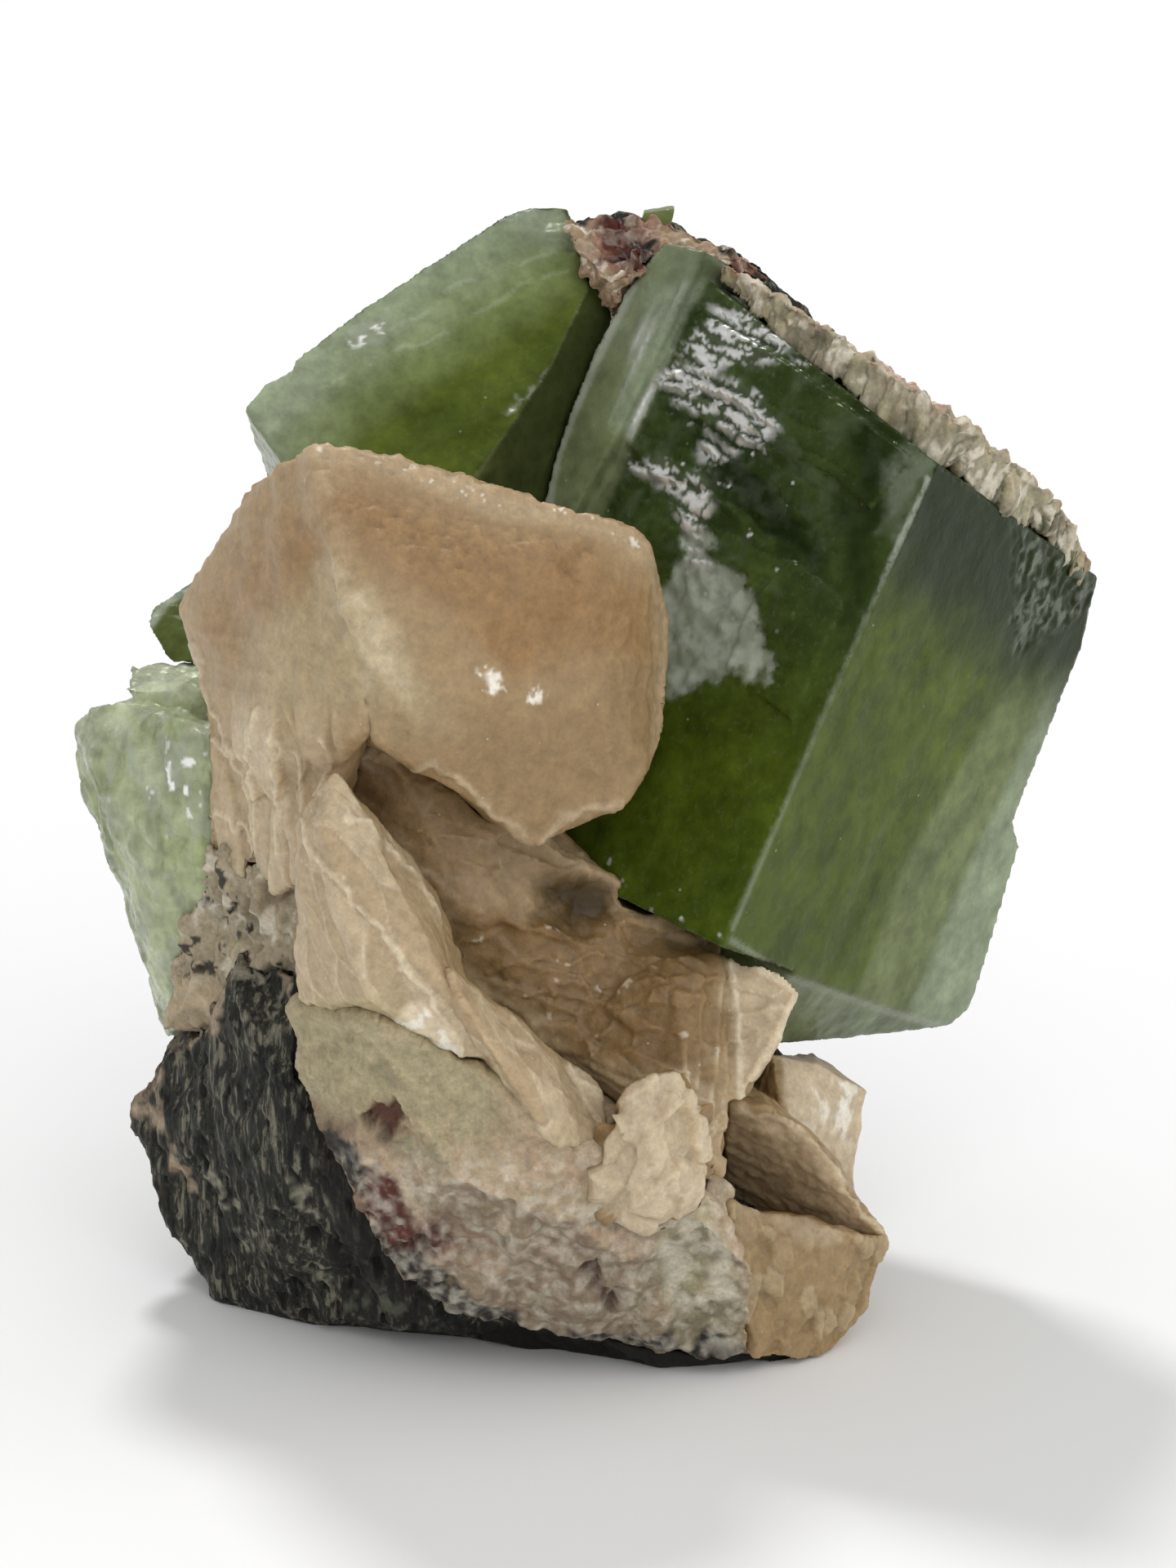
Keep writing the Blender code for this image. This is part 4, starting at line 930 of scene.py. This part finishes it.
def crust_shape(points, normals, seen, front):
    """Ragged tufts of small crystals, grey-green below and cream or pink on top, with black painted shade in the gaps
    between them.
    """
    left, right, up = along_crystal(points)
    along = columns(left, right)
    _, gap, number = scattered(columns(left * 0.55, right * 0.55, up * 0.3), 5)
    tufts = step(0, 0.5, gap) * (0.05 + 0.45 * number) + noise(points * 0.8, 11) * 0.42
    fibre = soft_noise(columns(left * 2.4, right * 2.4, up * 0.5), 9)
    # The lowest tufts hang over the crystal's top edge, each to its own length.
    low = step(2.6, 0.4, up - 37.9 - 0.19 * left + 0.04 * right) * front
    drop = scattered(along * 0.27, 25)[2] - 0.25 + 0.35 * noise(along * 0.9, 27)
    hang = low * np.clip(3.4 * drop, 0, 2.8)
    moves = normals * (tufts - 0.15 + 0.45 * low + 0.12 * fibre)[:, None] - np.outer(hang, UP_EDGE)
    blotch = noise(points * 0.3, 15)
    upward = step(0.2, 0.8, normals @ UP_EDGE)
    pink = (0.1 + 0.75 * upward) * step(-0.3, 0.5, blotch)
    green = (1 - upward) * patches(-0.2, 0.5, points * 0.5, 31) * 0.6
    grey = (1 - upward) * 0.5 * step(0.2, -0.5, blotch)
    red = 0.7 * upward * patches(0.5, 0.8, points * 0.5, 19)
    # The black in the gaps between tufts is painted shade.
    black = 0.9 * upward * patches(0.6, 0.8, points * 0.45, 23) + 0.45 * step(0.1, 0, gap)
    black = black + (0.25 + 0.5 * low) * patches(0, 0.7, points * 0.55, 27) * (1 - upward)
    white = 0.7 * patches(0.2, 0.7, points * 1.1, 29)
    return moves, dict(green=green, pink=pink, red=red, black=black, grey=grey, white=white)


PEAK_RUST = ((738, 280), (752, 272), (788, 272), (802, 300), (796, 326), (768, 330), (746, 316))
PEAK_ROCK = (((695, 250), (760, 250), (764, 268), (700, 268)), ((770, 280), (804, 288), (808, 310), (778, 308)),
    ((880, 296), (905, 302), (900, 312), (882, 308)), ((925, 320), (975, 380), (930, 372), (922, 340)))
PEAK_CREAM = ((800, 262), (900, 290), (890, 330), (810, 330))


def peak_shape(points, normals, seen, front):
    """Salmon lumps round a rust-brown hollow, with black rock showing through and cream scallops below."""
    loose = wandering(seen, 14, 8, 3)
    _, gap, number = scattered(points * (0.6, 0.6, 0.75), 5)
    lumps = step(0.02, 0.6, gap) * (0.15 + 0.55 * number) + noise(points * 1.6, 9) * 0.22
    hollow = inside(loose, PEAK_RUST, 12)
    cream = most(step(318, 336, loose[:, 1]) * step(800, 780, loose[:, 0]), step(738, 724, loose[:, 0]),
                 inside(loose, PEAK_CREAM, 12))
    bare = 1 - cream
    stain = patches(-0.3, 0.4, points * 0.5, 17) * bare
    black = most(insides(loose, PEAK_ROCK, 5), 0.7 * hollow * patches(-0.4, 0.3, points * 0.9, 25),
                 0.7 * patches(0.3, 0.7, points * 0.6, 21) * bare)
    return lumps - 0.4 - 0.9 * hollow, dict(
        green=0.2 * cream, pink=bare * step(0.2, 0.6, number) * 0.8 + 0.2 * cream,
        red=hollow + 0.75 * stain + 0.5 * step(0.2, 0, gap) * bare, black=black,
        grey=0.5 * cream * patches(0, 0.6, points * 0.7, 13),
        white=(0.7 * cream + 0.25) * (number > 0.55) * patches(-0.1, 0.4, points * 1.2, 23))


# The rock: cream rims at its left, pale scratches, and black and grey-green places at its foot, with black painted
# shade along its bottom edge.
ROCK_RIMS = ((((186, 1310), (176, 1350), (200, 1390), (218, 1440)), 20),
    (((200, 1288), (250, 1262), (292, 1180), (316, 1150)), 16), (((335, 1150), (352, 1200), (360, 1260)), 9))
SCRATCHES = (((305, 1190), (312, 1250)), ((262, 1440), (275, 1480)), ((290, 1500), (300, 1540)),
    ((368, 1450), (380, 1490)), ((385, 1530), (400, 1575)))
ROCK_BLACK = ((362, 1380), (440, 1400), (480, 1500), (520, 1620), (430, 1600), (400, 1500))
ROCK_GREEN = ((400, 1570), (560, 1600), (540, 1650), (420, 1612))


def basalt_shape(points, normals, seen, front):
    """A broken, streaky surface with long bubbles, and a cream rind round the top and left of the foot."""
    lean = points + np.outer(points[:, 2] * 0.14, (1, 0, 0))
    near, _, number = scattered(lean * (0.6, 0.6, 0.22), 5)
    holes = step(0.34, 0.2, near) * (number > 0.4)
    near, _, number = scattered(lean * (1.3, 1.3, 0.6), 15)
    small_holes = step(0.32, 0.18, near) * (number > 0.6)
    _, gap, number = scattered(lean * (0.16, 0.16, 0.11), 27)
    chunks = (number - 0.5) * 0.9 * step(0, 0.12, gap) * (0.35 + 0.65 * step(3, 9, points[:, 2]))
    grooves = soft_noise(lean * (0.9, 0.9, 0.1), 21) * 0.3 + soft_noise(lean * (2, 2, 0.22), 23) * 0.16
    rough = noise(points * 0.35, 25) * 0.35 + noise(points * 1.1, 29) * 0.14
    relief = (chunks + rough + grooves - 0.8 * holes - 0.35 * small_holes) * step(0.02, 1.6, points[:, 2])
    relief = relief - 1.1 * step(10, 16, points[:, 0]) * step(48, 40, points[:, 2])
    ragged = wandering(seen, 18, 14, 31)
    rim = most(*(stroke(ragged, line, width) for line, width in ROCK_RIMS))
    rind = rim * patches(-0.5, 0.1, points * 0.6, 33) * front * 0.9
    rind = rind + (1 - front) * patches(0.45, 0.9, points * 0.22, 41) * 0.45
    pale = strokes(ragged, SCRATCHES, 8) * (noise(points * 1.2, 35) > 0)
    # Painted shade: black along the bottom edge of the foot.
    foot = step(1612, 1632, ragged[:, 1]) * step(400, 520, seen[:, 0])
    black = most(inside(ragged, ROCK_BLACK, 16) * 0.8, foot)
    green = inside(ragged, ROCK_GREEN, 10) * patches(0.1, 0.5, points * 0.7, 37)
    # The rock stays behind the blade at the lower right.
    inward = 7 * step(6, 20, points[:, 0]) * step(40, 30, points[:, 2]) * step(8, 16, points[:, 2])
    return normals * relief[:, None] - np.outer(inward, (1, 0, 0)), dict(
        hole=holes * 0.9 + 0.5 * small_holes, rind=rind, pale=pale * front, black=black * front,
        green=green * front, red=0.5 * rim * (noise(points * 1.1, 39) > 0.5) * front)


# Each solid of the model with the name of its piece, the size of its faces, the rounds of smoothing, its shape, its
# slot and its look.
PIECES = (
    ("apophyllite_main", "main_crystal", 0.32, 0, main_shape, "apophyllite green", "green"),
    ("apophyllite_upper_left", "upper_left_crystal", 0.28, 0, tablet_shape, "apophyllite pale green", "pale"),
    ("apophyllite_lower_left", "lower_left_crystal", 0.25, 0, lower_left_shape, "apophyllite pale green", "sparkling"),
    ("apophyllite_small_left", "small_left_crystal", 0.22, 0, small_shape, "apophyllite green", "pale"),
    ("apophyllite_tiny_top", "tiny_top_crystal", 0.12, 0, small_shape, "apophyllite green", "sparkling"),
    ("stilbite_crown", "crown", 0.25, 10, crown_shape, "stilbite peach", "peach"),
    ("stilbite_ridge", "ridge", 0.20, 5, ridge_shape, "stilbite peach", "peach"),
    ("stilbite_bowl", "bowl", 0.25, 4, bowl_shape, "stilbite peach", "peach"),
    ("stilbite_right", "right_wedge", 0.21, 2, right_shape, "stilbite peach", "peach"),
    ("drusy_crust", "druse", 0.23, 4, druse_shape, "druse cream", "cream"),
    ("peak_crust", "peak", 0.16, 2, peak_shape, "crust pink", "pink"),
    ("upper_crust", "upper_rind", 0.20, 0, crust_shape, "druse cream", "rind"),
    ("basalt_matrix", "basalt", 0.40, 2, basalt_shape, "basalt black", "black"),
)


def make_pieces():
    """Remake, carve and paint every solid of the model."""
    looks = {
        "green": green_paint(
            "apophyllite green look", (78, 96, 46), (54, 68, 30), (106, 120, 66), (166, 180, 148), 0.38),
        "pale": green_paint(
            "apophyllite pale green look", (150, 156, 104), (118, 126, 68), (126, 140, 84), (178, 190, 158), 0.35),
        "sparkling": green_paint(
            "apophyllite sparkling look", (194, 202, 146), (164, 176, 112), (176, 188, 132), (220, 226, 196), 0.30),
        "peach": stilbite_paint("stilbite peach look"),
        "cream": druse_paint("druse cream look", (166, 144, 114), (196, 180, 150), (52, 48, 42), (18, 17, 14)),
        "pink": druse_paint("crust pink look", (140, 114, 90), (180, 156, 128), (40, 34, 28), (14, 12, 10)),
        "rind": druse_paint("crust rind look", (150, 138, 112), (196, 184, 158), (70, 78, 54), (34, 42, 24)),
        "black": basalt_paint("basalt black look"),
    }
    for node, name, cell, smoothing, shape, slot, look in PIECES:
        piece = dense_copy(node, name, cell, smoothing)
        thin_back(piece, carve(piece, shape))
        finish_piece(piece, looks[look], node)


# Floor, light and camera.

def make_floor():
    """A pale floor, 12 metres wide."""
    bm = bmesh.new()
    bmesh.ops.create_grid(bm, x_segments=8, y_segments=8, size=6.0)
    mesh = bpy.data.meshes.new("floor")
    bm.to_mesh(mesh)
    bm.free()
    floor = bpy.data.objects.new("floor", mesh)
    bpy.context.scene.collection.objects.link(floor)
    paint = Paint("floor look")
    paint.set(Base_Color=paint.mix(paint.noise(40.0), (0.95, 0.95, 0.95, 1.0), (0.98, 0.98, 0.98, 1.0)))
    paint.set(Roughness=0.95, Specular_IOR_Level=0.05)
    mesh.materials.append(paint.material)


def far_light(name, source, angle, strength):
    """Light from far away, as wide as the angle in degrees."""
    lamp = bpy.data.lights.new(name, "SUN")
    lamp.angle = math.radians(angle)
    lamp.energy = strength
    made = bpy.data.objects.new(name, lamp)
    made.rotation_euler = Vector(source).to_track_quat("Z", "Y").to_euler()
    bpy.context.scene.collection.objects.link(made)


def make_light():
    """Even pale surroundings, wide soft light from the front and a narrower one from above and behind."""
    world = bpy.data.worlds.new("surroundings")
    world.use_nodes = True
    background = world.node_tree.nodes["Background"]
    background.inputs["Color"].default_value = (1.0, 1.0, 1.0, 1.0)
    background.inputs["Strength"].default_value = 0.52
    bpy.context.scene.world = world
    far_light("overhead", (-0.12, 0.50, 0.86), 9.0, 1.15)
    far_light("front_soft", (0.30, -0.70, 0.65), 60.0, 0.92)
    far_light("right_soft", (0.90, 0.10, 0.42), 40.0, 0.25)


def make_camera():
    """The photograph's own place: in front, a little above the middle of the specimen."""
    lens = bpy.data.cameras.new("camera")
    lens.lens = LENS
    lens.sensor_width = SENSOR
    lens.clip_start = 0.001
    lens.clip_end = 50.0
    camera = bpy.data.objects.new("camera", lens)
    camera.location = (AIM + SHIFT + TOWARD * DISTANCE) * MM
    camera.rotation_euler = (math.radians(90.0) - TILT, 0.0, 0.0)
    bpy.context.scene.collection.objects.link(camera)
    bpy.context.scene.camera = camera
    bpy.context.scene.view_settings.view_transform = "Standard"


make_pieces()
make_floor()
make_light()
make_camera()
